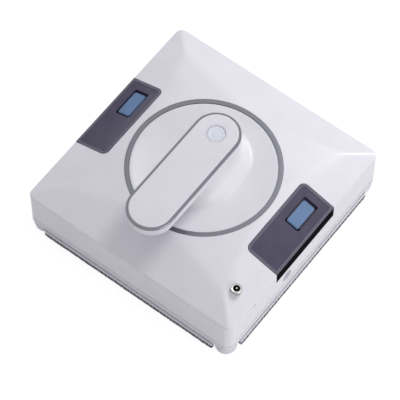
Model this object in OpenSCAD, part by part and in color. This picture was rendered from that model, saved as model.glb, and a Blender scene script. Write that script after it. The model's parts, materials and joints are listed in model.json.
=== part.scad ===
// Window cleaning robot: a square housing held to the glass by suction, with two tracks,
// a cloth pad, two water tanks and a carrying handle. Millimetres. The glass is at z = 0,
// +Z points away from it, +Y to the power button and +X to the right tank.

/* [Housing] */
// Side of the square housing
body_w = 240; // [232:1:280]
// Radius of the housing's upright corners
corner_r = 8; // [6:0.5:10]
// Height of the tray's upright rim
rim_h = 6.6; // [6:0.1:8]
// Height of the cover's upright side, from the seam to the roof edge
side_h = 38.4; // [37:0.1:47]
// Rise of the roof from its edge to the silver ring
roof_rise = 14.2; // [12:0.1:18]
// Fall of the roof's crown between the ring and the corners, in degrees
crown_fall = 6; // [4:0.5:8]
// Wall of the moulded shells
wall = 2.4; // [2:0.1:2.8]
// Depth of the groove that marks the seam
seam_groove = 0.6; // [0.3:0.1:1]
// Height of the tray's locating lip above the seam
lip_h = 2; // [1.5:0.1:2.2]

/* [Dish and handle] */
// Inner radius of the silver ring, as a share of the housing's side
dish_share = 0.29583; // [0.285:0.0005:0.305]
// Width of the silver ring's face
ring_w = 4.6; // [3.5:0.1:5]
// Depth of the dish at its middle
dish_depth = 8; // [6:0.5:9]
// Radius of the handle's round ends
handle_r = 23.9; // [22:0.1:26]
// Height of the handle's top above the silver ring
handle_rise = 35.8; // [33:0.1:42]
// Thickness of the handle
handle_t = 12; // [11:0.1:14]
// Distance of the handle's free round end from the middle of the dish
handle_reach = 80.5; // [76:0.5:86]
// Distance of the power button from the middle of the dish
button_y = 19.2; // [17:0.1:22]
// Distance of the pillar's front round end from the middle of the dish
pillar_front = 12; // [8:0.5:14]
// Radius of the pillar's flare into the dish
flare_r = 24; // [20:0.5:25]
// Width of the silver trim round the handle's top
trim_w = 2.6; // [2:0.1:3]
// Radius of the power button
button_r = 8.6; // [7:0.1:9.5]
// Travel of the power button
button_travel = 1.2; // [0.8:0.1:1.5]

/* [Water tanks] */
// Length of a tank along the housing's side
tank_l = 91; // [84:0.5:94]
// Width of a tank, as a share of the housing's side
tank_w_share = 0.15292; // [0.142:0.0005:0.154]
// Height of a tank's outer face
tank_side_h = 15; // [14:0.1:16]
// Radius of a tank's inner corners
tank_corner_r = 6; // [4:0.5:8]
// Width of the flat rim round a tank's lid
lid_rim_w = 3; // [2:0.1:4]
// Width of the blue filler cap
cap_w = 13.4; // [11:0.1:14.5]
// Length of the blue filler cap
cap_l = 28; // [24:0.5:30]
// Thickness of the blue filler cap
cap_t = 3; // [2.5:0.1:3.2]

/* [Pad] */
// Thickness of the cleaning cloth
cloth_t = 6; // [5:0.1:6.5]
// Thickness of the pad frame
pad_frame_t = 3; // [2.5:0.1:3.5]
// Height of the dark gap between the pad frame and the housing
pad_gap = 3; // [2.6:0.1:4]
// Distance of the pad's edge outside the housing's side
pad_reach = 1; // [0.2:0.1:1.5]
// Length of the pad's corner notch along each side
notch_l = 19; // [18:0.5:20]
// Gap between the side of a track and the pad
pad_side_gap = 5.7; // [5:0.1:7]
// Gap between the end of a track and the pad
pad_end_gap = 7.4; // [6:0.1:9]

/* [Edge probes] */
// Radius of an edge probe
probe_r = 11; // [10:0.1:11.5]
// Distance of a probe's centre inside the housing's side
probe_inset = 11; // [11:0.1:12]
// Height of a probe's underside above the glass
probe_lift = 0.7; // [0.5:0.1:2]
// Travel of a probe
probe_travel = 1.5; // [1:0.1:1.6]

/* [Tracks] */
// Distance of a track's middle from the robot's middle, as a share of the housing's side
track_share = 0.30833; // [0.302:0.0005:0.313]
// Distance between a track's axles, as a share of the housing's side
track_base_share = 0.46667; // [0.45:0.001:0.48]
// Radius of the track wheels
wheel_r = 9; // [8.6:0.1:9.4]
// Thickness of the track belt without its ribs
belt_t = 1.4; // [1:0.1:1.6]
// Height of the belt's ribs
rib_h = 0.6; // [0.4:0.1:1]
// Width of the track belt
belt_w = 20; // [18:0.5:21]
// Height of a track's underside above the glass
track_lift = 2; // [1.5:0.1:2.5]
// Radius of the steel axles
axle_r = 2; // [1.5:0.1:2.4]

/* [Fan] */
// Outer radius of the fan housing, as a share of the housing's side
volute_share = 0.1875; // [0.175:0.0005:0.19]
// Radius of the impeller, as a share of the fan housing's radius
impeller_share = 0.8889; // [0.8:0.005:0.9]
// Number of impeller blades
blades = 11; // [7:1:13]
// Radius of the suction inlet, as a share of the impeller's radius
inlet_share = 0.6; // [0.5:0.01:0.65]

/* [Power jack] */
// Outer radius of the metal collar
jack_r = 5.5; // [4.5:0.1:6]
// Height of the collar above the roof
jack_rise = 5; // [4:0.1:8]
// Place of the power jack from the housing's right side, as a share of the housing's side
jack_side_share = 0.07792; // [0.071:0.0005:0.09]
// Place of the power jack from the housing's front side, as a share of the housing's side
jack_front_share = 0.15208; // [0.143:0.0005:0.174]

/* [Hidden] */
$fn = 64;
dish_fn = 128;

// Clearances and overruns
overrun = 1;
loose_gap = 0.3;
seat_gap = 0.1;
run_gap = 0.05;

// Levels of the housing
floor_z = cloth_t + pad_frame_t;
base_z = floor_z + pad_gap;
seam_z = base_z + rim_h;
edge_z = seam_z + side_h;
ring_z = edge_z + roof_rise;
half_w = body_w / 2;
floor_top_z = floor_z + wall;
inner_w = body_w - 2 * wall;

// Roof: four planes that climb from the edges to the ring
dish_r = dish_share * body_w;
ring_r = dish_r + ring_w;
roof_ratio = roof_rise / (half_w - ring_r);
roof_angle = atan(roof_ratio);
function roof_z(x) = edge_z + (half_w - abs(x)) * roof_ratio;
crown_foot_z = ring_z - (body_w - ring_r) * tan(crown_fall);
roof_t = wall;

// Seam lip
lip_t = wall / 2;
lip_w = inner_w - 2 * loose_gap;

// Screws that hold the tray to the cover, and their bosses
screw_r = 1.5;
screw_head_r = 2.8;
screw_head_h = 2;
screw_sink = 3.2;
screw_grip = 9;
screw_l = 16;
boss_wall = 1.6;
boss_r = screw_head_r + loose_gap + boss_wall;
boss_split_z = floor_z + screw_grip;
screw_edge = 14;
screw_gap = 16.5;
screw_side = tank_l / 2 + screw_gap;
screw_reach = half_w - screw_edge;
screw_places = [for (x = [-screw_reach, screw_reach], y = [-screw_side, screw_side]) [x, y],
                for (x = [-screw_side, screw_side], y = [-screw_reach, screw_reach]) [x, y]];

// Silver ring and dish
ring_seat = 1;
ring_t = 1.2;
ring_fall = 0.3;
dish_gap = 0.15;
dish_rim_r = dish_r - dish_gap;
dish_flange_r = ring_r - wall / 2;
dish_flange_t = wall;
dish_sphere_r = (dish_r * dish_r + dish_depth * dish_depth) / (2 * dish_depth);
dish_floor_z = ring_z - dish_depth;

// Handle
handle_top_z = ring_z + handle_rise;
handle_low_z = handle_top_z - handle_t;
handle_split_z = handle_low_z + handle_t / 2;
trim_r = handle_r - trim_w;
trim_h = 2.2;
trim_drop = 0.4;
trim_chamfer = 0.9;
trim_seat_z = handle_top_z - trim_drop - trim_h;
tray_wall_r = handle_r - wall;
pillar_low_z = dish_floor_z - wall;
flare_low_z = dish_floor_z - wall / 2;
flare_high_z = flare_low_z + flare_r;

// Power button, its bezel, board and spring
button_drop = 0.5;
button_cap_t = 3.4;
button_flange_w = 1.3;
button_flange_r = button_r + button_flange_w;
button_flange_t = 1.2;
button_stem_r = 2.4;
bezel_w = 1.3;
bezel_r = button_r + loose_gap + bezel_w;
bezel_t = button_drop + button_cap_t - loose_gap;
board_t = 1.6;
board_r = 14;
board_low_z = handle_low_z + wall;
board_top_z = board_low_z + board_t;
button_low_z = handle_top_z - button_drop - button_cap_t - button_flange_t;
spring_wall = 1;

// Water tanks, drawn on the right-hand side
tank_w = tank_w_share * body_w;
tank_in_x = half_w - tank_w;
tank_low_z = edge_z - tank_side_h;
tank_wall = 1.6;
pocket_wall = 1.8;
lid_t = 5.2;
lid_sink = 0.6;
cap_side_share = 0.50954;
cap_x = half_w - cap_side_share * tank_w;
cap_y_share = 0.1978;
cap_y = cap_y_share * tank_l;
cap_drop = 1;
cap_side_gap = 1.8;
cap_finger_gap = 3;
cap_corner_r = 1.5;
cap_pin_r = 0.8;
cap_pin_l = 1.5;
cap_pin_reach = cap_w / 2 + cap_side_gap + cap_pin_l;
recess_depth = cap_drop + cap_t + loose_gap;
plug_r = 3.9;
plug_gap = 0.7;
plug_l = 2.4;
tank_pocket_z = tank_low_z - loose_gap - pocket_wall;

// Spray nozzle, atomiser and outlet seal, in line under a tank
nozzle_y_share = 0.31;
nozzle_y = -nozzle_y_share * tank_l;
nozzle_z = 30.8;
nozzle_r = 6.2;
nozzle_bore_r = 0.8;
nozzle_flange_w = 0.8;
nozzle_flange_r = nozzle_r + nozzle_flange_w;
nozzle_flange_t = 1.6;
atomiser_w = 16;
atomiser_d = 12;
atomiser_foot = 0.6;
atomiser_low_z = nozzle_z - nozzle_flange_r - atomiser_foot;
seal_r = 4;
seal_bore_r = 1.8;
seal_x = half_w - wall - nozzle_flange_t - loose_gap - atomiser_d / 2;

// Power jack
jack_x = half_w - jack_side_share * body_w;
jack_y = jack_front_share * body_w - half_w;
jack_top_z = roof_z(jack_x) + jack_rise;
jack_head_z = roof_z(jack_x - jack_r) + loose_gap;
jack_neck = 0.6;
jack_neck_r = jack_r - jack_neck;
jack_core_r = 3.3;
jack_core_drop = 1;
jack_pin_r = 1;
jack_boss_w = 3.2;
jack_boss_r = jack_r + jack_boss_w;
jack_boss_h = 7.4;
jack_boss_z = roof_z(jack_x) - jack_boss_h;
jack_nut_w = 2.6;
jack_nut_r = jack_r + jack_nut_w;
jack_nut_t = 3.4;
jack_tail = 3;
jack_low_z = jack_boss_z - jack_nut_t - jack_tail;
hex_sides = 6;

// Status window
lens_l = 4.3;
lens_h = 1.2;
lens_side = 3.1;
lens_y = jack_y + lens_side;
lens_drop = 8.3;
lens_z = edge_z - lens_drop;
lens_lip = 1.5;
lens_lip_t = 1.2;

// Pad
pad_w = body_w + 2 * pad_reach;
cloth_reach = 0.4;
notch_gap = 1;
notch_r = probe_r + notch_gap;
probe_c = half_w - probe_inset;
plinth_inset = 7.3;
plinth_in = pad_w / 2 - plinth_inset - wall;
opening_r = 8;

// Edge probes
probe_top_z = base_z - probe_travel - loose_gap;
probe_step = 0.6;
probe_groove = 0.8;
stem_r = 3;
guide_r = 5;
guide_h = 10;
guide_top_z = base_z + guide_h;
head_r = 4.4;
head_t = 1.6;
head_z = guide_top_z + loose_gap;
probe_spring_h = 7;
probe_spring_r = 3.6;
switch_z = head_z + head_t + probe_spring_h + 2 * seat_gap;
switch_h = 7;
switch_leg = 2.4;
switch_w = 9;
switch_in = probe_c - guide_r - seat_gap - switch_leg;

// Tracks
track_x = track_share * body_w;
track_base = track_base_share * body_w;
belt_gap = 0.3;
belt_out = wheel_r + belt_gap + belt_t + rib_h;
axle_z = track_lift + belt_out;
wheel_side = 1;
wheel_w = belt_w - 2 * wheel_side;
rib_pitch = 6;
rib_w = 3;
frame_gap = 0.6;
frame_t = 2;
frame_x = belt_w / 2 + frame_gap;
frame_rise = 1.4;
frame_low_z = axle_z - wheel_r + frame_rise;
frame_top_z = axle_z + wheel_r;
frame_foot = 4;
frame_foot_t = 2;
slot_gap = 0.5;
frame_end = 1;
frame_half_l = track_base / 2 + wheel_r - frame_end;
slot_half_l = track_base / 2 + belt_out + slot_gap;
lightening_r = 1.7;
lightening_c = 5.6;
lightening_holes = 6;

// Gears: the gear on the drive axle and the motor's pinion above it
gear_module = 0.8;
gear_teeth = 20;
pinion_teeth = 14;
gear_w = 6;
tooth_slack = 0.12;
tip_share = 0.85;
root_share = 1.3;
pressure_angle = 20;
flank_steps = 4;
gear_out_x = track_x - frame_x - frame_t - loose_gap;
gear_in_x = gear_out_x - gear_w;
motor_z = axle_z + gear_module * (gear_teeth + pinion_teeth) / 2;
motor_gap = 1.5;
motor_face_x = gear_in_x - motor_gap;
motor_r = 10;
gearbox_l = 14;
motor_can_r = 8;
motor_can_share = 0.505;
motor_can_l = motor_can_share * (motor_face_x - gearbox_l);
motor_shaft_r = 1.5;
motor_bore_l = 5;
saddle_l = 8;

// Fan
volute_r = volute_share * body_w;
impeller_r = impeller_share * volute_r;
inlet_r = inlet_share * impeller_r;
gasket_t = 1.5;
gasket_w = 10;
guard_lip = 5.6;
guard_r = inlet_r + guard_lip;
guard_slots = 12;
guard_hub_r = 7;
guard_slot_w = 3;
volute_low_z = floor_top_z + gasket_t;
volute_h = 22;
volute_top_z = volute_low_z + volute_h;
impeller_gap = 2;
impeller_low_z = volute_low_z + wall + impeller_gap;
impeller_top_z = volute_top_z - wall - impeller_gap;
back_plate_t = 1.4;
hub_r = 6;
blade_t = 1.2;
blade_in_share = 0.375;
blade_in_r = blade_in_share * impeller_r;
blade_sweep = 28;
fan_shaft_r = 1.5;
fan_motor_r = 17;
fan_motor_h = 13;
shaft_bore_l = 8;
duct_w = 24;
duct_in_x = volute_r - duct_w;
duct_end_y = plinth_in - loose_gap;
vent_slots = 4;
vent_h = 1.6;
vent_pitch = 2.8;
vent_z = seam_z + lip_h + vent_h;

// Battery, at the rear beside the fan's duct
cell_r = 9.2;
cell_share = 0.27083;
cell_l = cell_share * body_w;
cell_gap = 0.4;
cell_pitch = 2 * cell_r + cell_gap;
holder_t = 1.6;
holder_w = cell_l + 2 * loose_gap + 2 * holder_t;
holder_d = 2 * cell_pitch + 2 * holder_t;
holder_gap = 3;
holder_x = duct_in_x - holder_gap - holder_w / 2;
holder_y = plinth_in - 2 * loose_gap - holder_d / 2;
cell_low_z = floor_top_z + holder_t + seat_gap;

// Main board, at the front between the gear motors and the housing's wall
board_w = 72;
board_gap = 9.4;
board_edge = 0.9;
board_in_y = track_base / 2 + motor_r + board_gap;
board_out_y = plinth_in - board_edge;
board_d = board_out_y - board_in_y;
main_y = -(board_in_y + board_out_y) / 2;
post_h = 12;
post_r = 3;
main_low_z = floor_top_z + post_h;

// Colours
white_plastic = [0.90, 0.90, 0.92];
silver = [0.70, 0.70, 0.73];
smoke = [0.30, 0.29, 0.36];
cap_blue = [0.40, 0.52, 0.65];
dark_rubber = [0.16, 0.16, 0.17];
steel = [0.62, 0.63, 0.65];
board_green = [0.10, 0.35, 0.22];
black_plastic = [0.12, 0.12, 0.13];

// A centred square with round corners
module rounded_square(w, r) {
    square([w - 2 * r, w], center = true);
    square([w, w - 2 * r], center = true);
    for (x = [-1, 1], y = [-1, 1]) translate([x, y] * (w / 2 - r)) circle(r);
}

// A centred rectangle with round corners
module rounded_rectangle(size, r) {
    square([size.x - 2 * r, size.y], center = true);
    square([size.x, size.y - 2 * r], center = true);
    for (x = [-1, 1], y = [-1, 1]) translate([x * (size.x / 2 - r), y * (size.y / 2 - r)]) circle(r);
}

// An upright slab with round corners, from z0 to z1
module slab(w, r, z0, z1) {
    translate([0, 0, z0]) linear_extrude(z1 - z0) rounded_square(w, r);
}

// An upright tube or, without a bore, a cylinder
module tube(r, bore, z0, z1) {
    translate([0, 0, z0]) difference() {
        cylinder(r = r, h = z1 - z0);
        if (bore > 0) translate([0, 0, -overrun]) cylinder(r = bore, h = z1 - z0 + 2 * overrun);
    }
}

// A cylinder along X, from x0 to x1
module rod_x(r, x0, x1) {
    translate([x0, 0, 0]) rotate([0, 90, 0]) cylinder(r = r, h = x1 - x0);
}

// Everything under two opposite roof planes, lowered by drop
module roof_wedge(drop) {
    far = half_w + overrun;
    far_z = edge_z - overrun * roof_ratio - drop;
    linear_extrude(body_w + 2 * overrun, center = true)
        polygon([[-far, 0], [far, 0], [far, far_z], [ring_r, ring_z - drop],
                 [-ring_r, ring_z - drop], [-far, far_z]]);
}

// Everything under the roof's cone-shaped crown, lowered by drop
module roof_crown(drop) {
    rotate_extrude() polygon([[0, 0], [body_w, 0], [body_w, crown_foot_z - drop],
                              [ring_r, ring_z - drop], [0, ring_z - drop]]);
}

// A block of width w that stands at z0 under the roof
module roofed_block(w, r, drop, z0) {
    intersection() {
        slab(w, r, z0, ring_z + overrun);
        rotate([90, 0, 0]) roof_wedge(drop);
        rotate([90, 0, 90]) roof_wedge(drop);
        roof_crown(drop);
    }
}

// A stadium of radius r, with its ends' centres at y0 and y1
module stadium(r, y0, y1) {
    translate([0, y0]) circle(r);
    translate([0, y1]) circle(r);
    translate([-r, y0]) square([2 * r, y1 - y0]);
}

// An upright stadium from z0 to z1
module stadium_slab(r, y0, y1, z0, z1) {
    translate([0, 0, z0]) linear_extrude(z1 - z0) stadium(r, y0, y1);
}

// A profile that runs round a stadium, x outwards and y up
module stadium_sweep(y0, y1) {
    translate([0, y1, 0]) rotate_extrude(angle = 180) children();
    translate([0, y0, 0]) rotate([0, 0, 180]) rotate_extrude(angle = 180) children();
    for (side = [0, 1]) mirror([side, 0, 0])
        translate([0, y1, 0]) rotate([90, 0, 0]) linear_extrude(y1 - y0) children();
}

// Puts right-hand pieces on the other side
module on_side(side) {
    mirror([side < 0 ? 1 : 0, 0, 0]) children();
}

// The plan of the tank, of its pocket with a gap round it, or of its inside with a negative gap
module tank_plan(gap) {
    r = tank_corner_r + gap;
    half_l = tank_l / 2 + gap;
    x0 = tank_in_x - gap;
    x1 = half_w + (gap > 0 ? overrun : gap);
    translate([x0 + r, -half_l]) square([x1 - x0 - r, 2 * half_l]);
    translate([x0, -half_l + r]) square([2 * r, 2 * (half_l - r)]);
    for (y = [-1, 1]) translate([x0 + r, y * (half_l - r)]) circle(r);
}

// A right-hand prism of the tank's plan under the roof, lowered by drop
module tank_block(gap, drop, z0) {
    intersection() {
        translate([0, 0, z0]) linear_extrude(ring_z) tank_plan(gap);
        rotate([90, 0, 0]) roof_wedge(drop);
    }
}

// Puts a piece on the right-hand roof plane, z square to it
module on_roof(x, y) {
    translate([x, y, roof_z(x)]) rotate([0, roof_angle, 0]) children();
}

// The walls and the floor of a tank's pocket
module pocket_shell() {
    half_l = tank_l / 2 + loose_gap + pocket_wall;
    x0 = tank_in_x - loose_gap - pocket_wall;
    translate([x0, -half_l, tank_pocket_z])
        cube([half_w - wall / 2 - x0, 2 * half_l, ring_z - tank_pocket_z]);
}

// Space that a tank takes, with its outlet hole below
module pocket_cut() {
    translate([0, 0, tank_low_z - loose_gap]) linear_extrude(ring_z) tank_plan(loose_gap);
    translate([seal_x, nozzle_y, 0]) tube(seal_r, 0, tank_pocket_z - overrun, tank_low_z);
}

module top_cover() {
    color(white_plastic) difference() {
        union() {
            difference() {
                roofed_block(body_w, corner_r, 0, seam_z);
                roofed_block(inner_w, corner_r - wall, roof_t, seam_z - overrun);
            }
            intersection() {
                union() {
                    for (side = [-1, 1]) on_side(side) pocket_shell();
                    for (p = screw_places) translate([p.x, p.y, 0]) tube(boss_r, 0, boss_split_z, ring_z);
                    translate([jack_x, jack_y, 0]) tube(jack_boss_r, 0, jack_boss_z, ring_z);
                }
                roofed_block(body_w - wall, corner_r, 0, boss_split_z - overrun);
            }
        }
        tube(dish_r, 0, edge_z, ring_z + overrun);
        tube(ring_r + dish_gap, 0, ring_z - ring_seat, ring_z + overrun);
        for (side = [-1, 1]) on_side(side) {
            pocket_cut();
            translate([0, nozzle_y, nozzle_z])
                rod_x(nozzle_r + seat_gap, inner_w / 2 - overrun, half_w + overrun);
        }
        for (p = screw_places) translate([p.x, p.y, 0])
            tube(screw_r + run_gap, 0, boss_split_z - overrun, floor_z + screw_sink + screw_l + overrun);
        translate([jack_x, jack_y, 0]) tube(jack_neck_r + run_gap, 0, jack_boss_z - overrun, ring_z);
        translate([inner_w / 2 - overrun, lens_y - lens_l / 2, lens_z])
            cube([wall + 2 * overrun, lens_l, lens_h]);
        for (i = [0 : vent_slots - 1])
            translate([duct_in_x + wall, inner_w / 2 - overrun, vent_z + i * vent_pitch])
                cube([volute_r - duct_in_x - 2 * wall, wall + 2 * overrun, vent_h]);
    }
}

// The plan of the pad and of the plinth above it, drawn in by inset
module pad_plan(inset) {
    difference() {
        rounded_square(pad_w - 2 * inset, corner_r + pad_reach);
        for (x = [-1, 1], y = [-1, 1]) {
            translate([x * probe_c, y * probe_c]) circle(notch_r + inset);
            translate([x * half_w, y * half_w]) square(2 * (notch_l + inset), center = true);
        }
    }
}

// The opening in the pad for the tracks and the fan
module pad_opening(extra) {
    rounded_rectangle([2 * (track_x + belt_w / 2 + pad_side_gap + extra),
                       2 * (track_base / 2 + belt_out + pad_end_gap + extra)], opening_r);
}

// A saddle under a gear motor, drawn on the right-hand side
module motor_saddle() {
    y = track_base / 2;
    translate([motor_face_x - gearbox_l, -y, 0]) difference() {
        translate([(gearbox_l - saddle_l) / 2, -motor_r, floor_top_z - wall / 2])
            cube([saddle_l, 2 * motor_r, motor_z - motor_r / 2 - floor_top_z + wall / 2]);
        translate([0, 0, motor_z]) rod_x(motor_r + seat_gap, 0, gearbox_l);
    }
}

module base_tray() {
    color(white_plastic) difference() {
        union() {
            difference() {
                slab(body_w, corner_r, base_z, seam_z - seam_groove);
                slab(inner_w, corner_r - wall, base_z + wall, seam_z);
            }
            difference() {
                slab(body_w - 2 * seam_groove, corner_r - seam_groove, base_z + wall, seam_z);
                slab(inner_w, corner_r - wall, base_z + wall, seam_z + overrun);
            }
            difference() {
                slab(lip_w, corner_r - wall - loose_gap, base_z, seam_z + lip_h);
                slab(lip_w - 2 * lip_t, corner_r - wall - loose_gap - lip_t,
                     base_z + wall, seam_z + lip_h + overrun);
            }
            translate([0, 0, floor_z]) linear_extrude(pad_gap + wall) pad_plan(plinth_inset);
        }
        translate([0, 0, floor_top_z]) linear_extrude(rim_h) pad_plan(plinth_inset + wall);
        tray_cuts();
    }
    color(white_plastic) difference() {
        tray_bosses();
        tray_cuts();
    }
}

// Bosses, guides, posts and saddles that stand on the tray
module tray_bosses() {
    for (p = screw_places) translate([p.x, p.y, 0]) tube(boss_r, 0, floor_z, boss_split_z);
    for (x = [-1, 1], y = [-1, 1]) translate([x * probe_c, y * probe_c, 0])
        tube(guide_r, 0, base_z, guide_top_z);
    for (x = [-1, 1], y = [-1, 1])
        translate([x * (board_w / 2 - 2 * post_r), main_y + y * (board_d / 2 - 2 * post_r), 0])
            tube(post_r, 0, floor_top_z - wall / 2, main_low_z);
    for (side = [-1, 1]) on_side(side) motor_saddle();
}

// Holes and slots through the tray's floor
module tray_cuts() {
    for (p = screw_places) translate([p.x, p.y, 0]) {
        tube(screw_head_r + loose_gap, 0, floor_z - overrun, floor_z + screw_sink);
        tube(screw_r + run_gap, 0, floor_z, boss_split_z + overrun);
    }
    for (x = [-1, 1], y = [-1, 1]) translate([x * probe_c, y * probe_c, 0])
        tube(stem_r + run_gap, 0, base_z - overrun, guide_top_z + overrun);
    for (x = [-1, 1]) translate([x * track_x, 0, floor_z])
        cube([2 * (frame_x + frame_t + slot_gap), 2 * slot_half_l, 2 * wall + overrun], center = true);
    for (x = [-1, 1]) translate([x * (gear_in_x + gear_out_x) / 2, -track_base / 2, floor_z])
        cube([gear_w + 2 * frame_foot, 2 * wheel_r + 2 * slot_gap, 2 * wall + overrun], center = true);
    tube(guard_r + seat_gap, 0, floor_z - overrun, floor_top_z + overrun);
}

module pad_frame() {
    color("white") translate([0, 0, cloth_t]) linear_extrude(pad_frame_t) difference() {
        pad_plan(0);
        pad_opening(0);
    }
}

module cleaning_cloth() {
    color("dimgray") linear_extrude(cloth_t) difference() {
        pad_plan(-cloth_reach);
        pad_opening(cloth_reach);
    }
}

// The concave flare between the pillar and the dish, x outwards and y up
module flare_profile() {
    difference() {
        square([handle_r + flare_r, flare_r]);
        translate([handle_r + flare_r, flare_r]) circle(flare_r);
    }
}

// The outside of the pillar with its flare
module pillar_outer() {
    stadium_slab(handle_r, -pillar_front, button_y, flare_high_z - overrun, handle_low_z + wall);
    translate([0, 0, flare_low_z]) {
        translate([0, -pillar_front, 0]) rotate_extrude() flare_profile();
        translate([0, button_y, 0]) rotate_extrude() flare_profile();
        translate([0, button_y, 0]) rotate([90, 0, 0]) linear_extrude(button_y + pillar_front) {
            flare_profile();
            mirror([1, 0]) flare_profile();
        }
    }
}

// The dish: a shallow bowl with a flange under the roof
module dish_bowl() {
    difference() {
        union() {
            tube(dish_rim_r, 0, pillar_low_z, ring_z - ring_seat / 2);
            tube(dish_flange_r, 0, ring_z - roof_t - dish_flange_t, ring_z - roof_t);
        }
        translate([0, 0, dish_floor_z + dish_sphere_r]) sphere(dish_sphere_r, $fn = dish_fn);
    }
}

// The hollow under the dish, which leaves the bowl one wall thick
module dish_hollow() {
    difference() {
        tube(dish_rim_r - wall, 0, pillar_low_z - overrun, ring_z);
        translate([0, 0, dish_floor_z + dish_sphere_r]) sphere(dish_sphere_r + wall, $fn = dish_fn);
    }
}

module handle_base() {
    color(white_plastic) difference() {
        union() {
            difference() {
                dish_bowl();
                dish_hollow();
            }
            intersection() {
                pillar_outer();
                tube(dish_rim_r, 0, pillar_low_z, handle_top_z);
            }
            stadium_slab(handle_r, -handle_reach, button_y, handle_low_z, handle_split_z);
        }
        stadium_slab(tray_wall_r, -handle_reach, button_y, board_low_z, handle_top_z);
        stadium_slab(tray_wall_r - wall, -pillar_front, button_y - wall,
                     pillar_low_z - overrun, handle_top_z);
    }
}

module handle_cover() {
    color(white_plastic) difference() {
        union() {
            stadium_slab(handle_r, -handle_reach, button_y, handle_split_z, trim_seat_z);
            stadium_slab(trim_r, -handle_reach, button_y, handle_split_z, handle_top_z);
        }
        stadium_slab(trim_r - wall, -handle_reach, button_y, handle_split_z - overrun, handle_top_z - wall);
        translate([0, button_y, 0]) tube(bezel_r + run_gap, 0, handle_split_z, handle_top_z + overrun);
    }
}

module dish_trim_ring() {
    color(silver) rotate_extrude() polygon([
        [dish_r, ring_z - ring_seat], [ring_r, ring_z - ring_seat],
        [ring_r, ring_z - ring_seat + ring_t - ring_fall], [dish_r, ring_z - ring_seat + ring_t]]);
}

module handle_trim() {
    color(silver) translate([0, 0, trim_seat_z]) stadium_sweep(-handle_reach, button_y)
        polygon([[trim_r + run_gap, 0], [handle_r, 0], [handle_r, trim_h - trim_chamfer],
                 [handle_r - trim_chamfer, trim_h], [trim_r + run_gap, trim_h]]);
}

module power_button() {
    color("aliceblue") translate([0, button_y, 0]) {
        tube(button_r, 0, button_low_z + button_flange_t, handle_top_z - button_drop);
        tube(button_flange_r, 0, button_low_z, button_low_z + button_flange_t);
        tube(button_stem_r, 0, board_top_z + button_travel + loose_gap, button_low_z);
    }
}

module button_bezel() {
    color(white_plastic) translate([0, button_y, 0])
        tube(bezel_r, button_r + loose_gap, handle_top_z - bezel_t, handle_top_z);
}

module button_spring() {
    color(steel) translate([0, button_y, 0])
        tube(button_stem_r + loose_gap + spring_wall, button_stem_r + loose_gap,
             board_top_z + seat_gap, button_low_z - seat_gap);
}

module button_board() {
    color(board_green) translate([0, button_y, 0]) tube(board_r, 0, board_low_z, board_top_z);
}

// The lower shell of a tank, open at the top
module tank_shell() {
    color(smoke) difference() {
        tank_block(0, lid_t, tank_low_z);
        translate([0, 0, tank_low_z + tank_wall]) linear_extrude(ring_z) tank_plan(-tank_wall);
        translate([seal_x, nozzle_y, 0])
            tube(seal_bore_r, 0, tank_low_z - overrun, tank_low_z + 2 * tank_wall);
    }
}

// The lid of a tank, with its sunk field and the filler cap's recess
module tank_lid() {
    field_l = tank_l - 2 * lid_rim_w;
    recess_l = cap_l + cap_side_gap + cap_finger_gap;
    color(smoke) difference() {
        tank_block(0, 0, tank_low_z);
        tank_block(loose_gap, lid_t, tank_low_z - overrun);
        difference() {
            translate([tank_in_x + lid_rim_w, -field_l / 2, tank_low_z])
                cube([tank_w - 2 * lid_rim_w, field_l, ring_z]);
            rotate([90, 0, 0]) roof_wedge(lid_sink);
        }
        on_roof(cap_x, cap_y) {
            translate([-cap_w / 2 - cap_side_gap, -cap_l / 2 - cap_side_gap, -recess_depth])
                cube([cap_w + 2 * cap_side_gap, recess_l, recess_depth + overrun]);
            tube(plug_r + plug_gap, 0, -2 * lid_t, 0);
            at_cap_hinge()
                rod_x(cap_pin_r + run_gap, -cap_pin_reach - loose_gap, cap_pin_reach + loose_gap);
        }
    }
}

// Puts a rod along X on the hinge of the filler cap, seen from the cap's middle on the roof
module at_cap_hinge() {
    translate([0, -cap_l / 2 + cap_t / 2, -cap_drop - cap_t / 2]) children();
}

// The filler cap, with a round edge and pins at its hinge end and a plug underneath
module tank_cap() {
    color(cap_blue) on_roof(cap_x, cap_y) {
        translate([0, 0, -cap_drop - cap_t]) linear_extrude(cap_t) {
            translate([0, cap_corner_r])
                rounded_rectangle([cap_w, cap_l - 2 * cap_corner_r], cap_corner_r);
            translate([-cap_w / 2, -cap_l / 2 + cap_t / 2]) square([cap_w, cap_l / 2]);
        }
        at_cap_hinge() {
            rod_x(cap_t / 2, -cap_w / 2, cap_w / 2);
            rod_x(cap_pin_r, -cap_pin_reach, cap_pin_reach);
        }
        tube(plug_r, 0, -cap_drop - cap_t - plug_l, -cap_drop - cap_t);
    }
}

module tank_seal() {
    color(dark_rubber) translate([seal_x, nozzle_y, 0])
        tube(seal_r - run_gap, seal_bore_r, tank_pocket_z, tank_low_z - loose_gap);
}

module spray_nozzle() {
    color("lightgray") translate([0, nozzle_y, nozzle_z]) difference() {
        union() {
            rod_x(nozzle_r, inner_w / 2 - overrun, half_w);
            rod_x(nozzle_flange_r, inner_w / 2 - nozzle_flange_t, inner_w / 2);
        }
        rod_x(nozzle_bore_r, inner_w / 2 - nozzle_flange_t - overrun, half_w + overrun);
    }
}

module atomiser() {
    x1 = inner_w / 2 - nozzle_flange_t;
    color(black_plastic) difference() {
        translate([x1 - atomiser_d, nozzle_y - atomiser_w / 2, atomiser_low_z])
            cube([atomiser_d, atomiser_w, tank_pocket_z - atomiser_low_z]);
        translate([seal_x, nozzle_y, 0]) tube(seal_bore_r, 0, nozzle_z, ring_z);
        translate([0, nozzle_y, nozzle_z]) rod_x(seal_bore_r, seal_x - seal_bore_r, half_w);
    }
}

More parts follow.
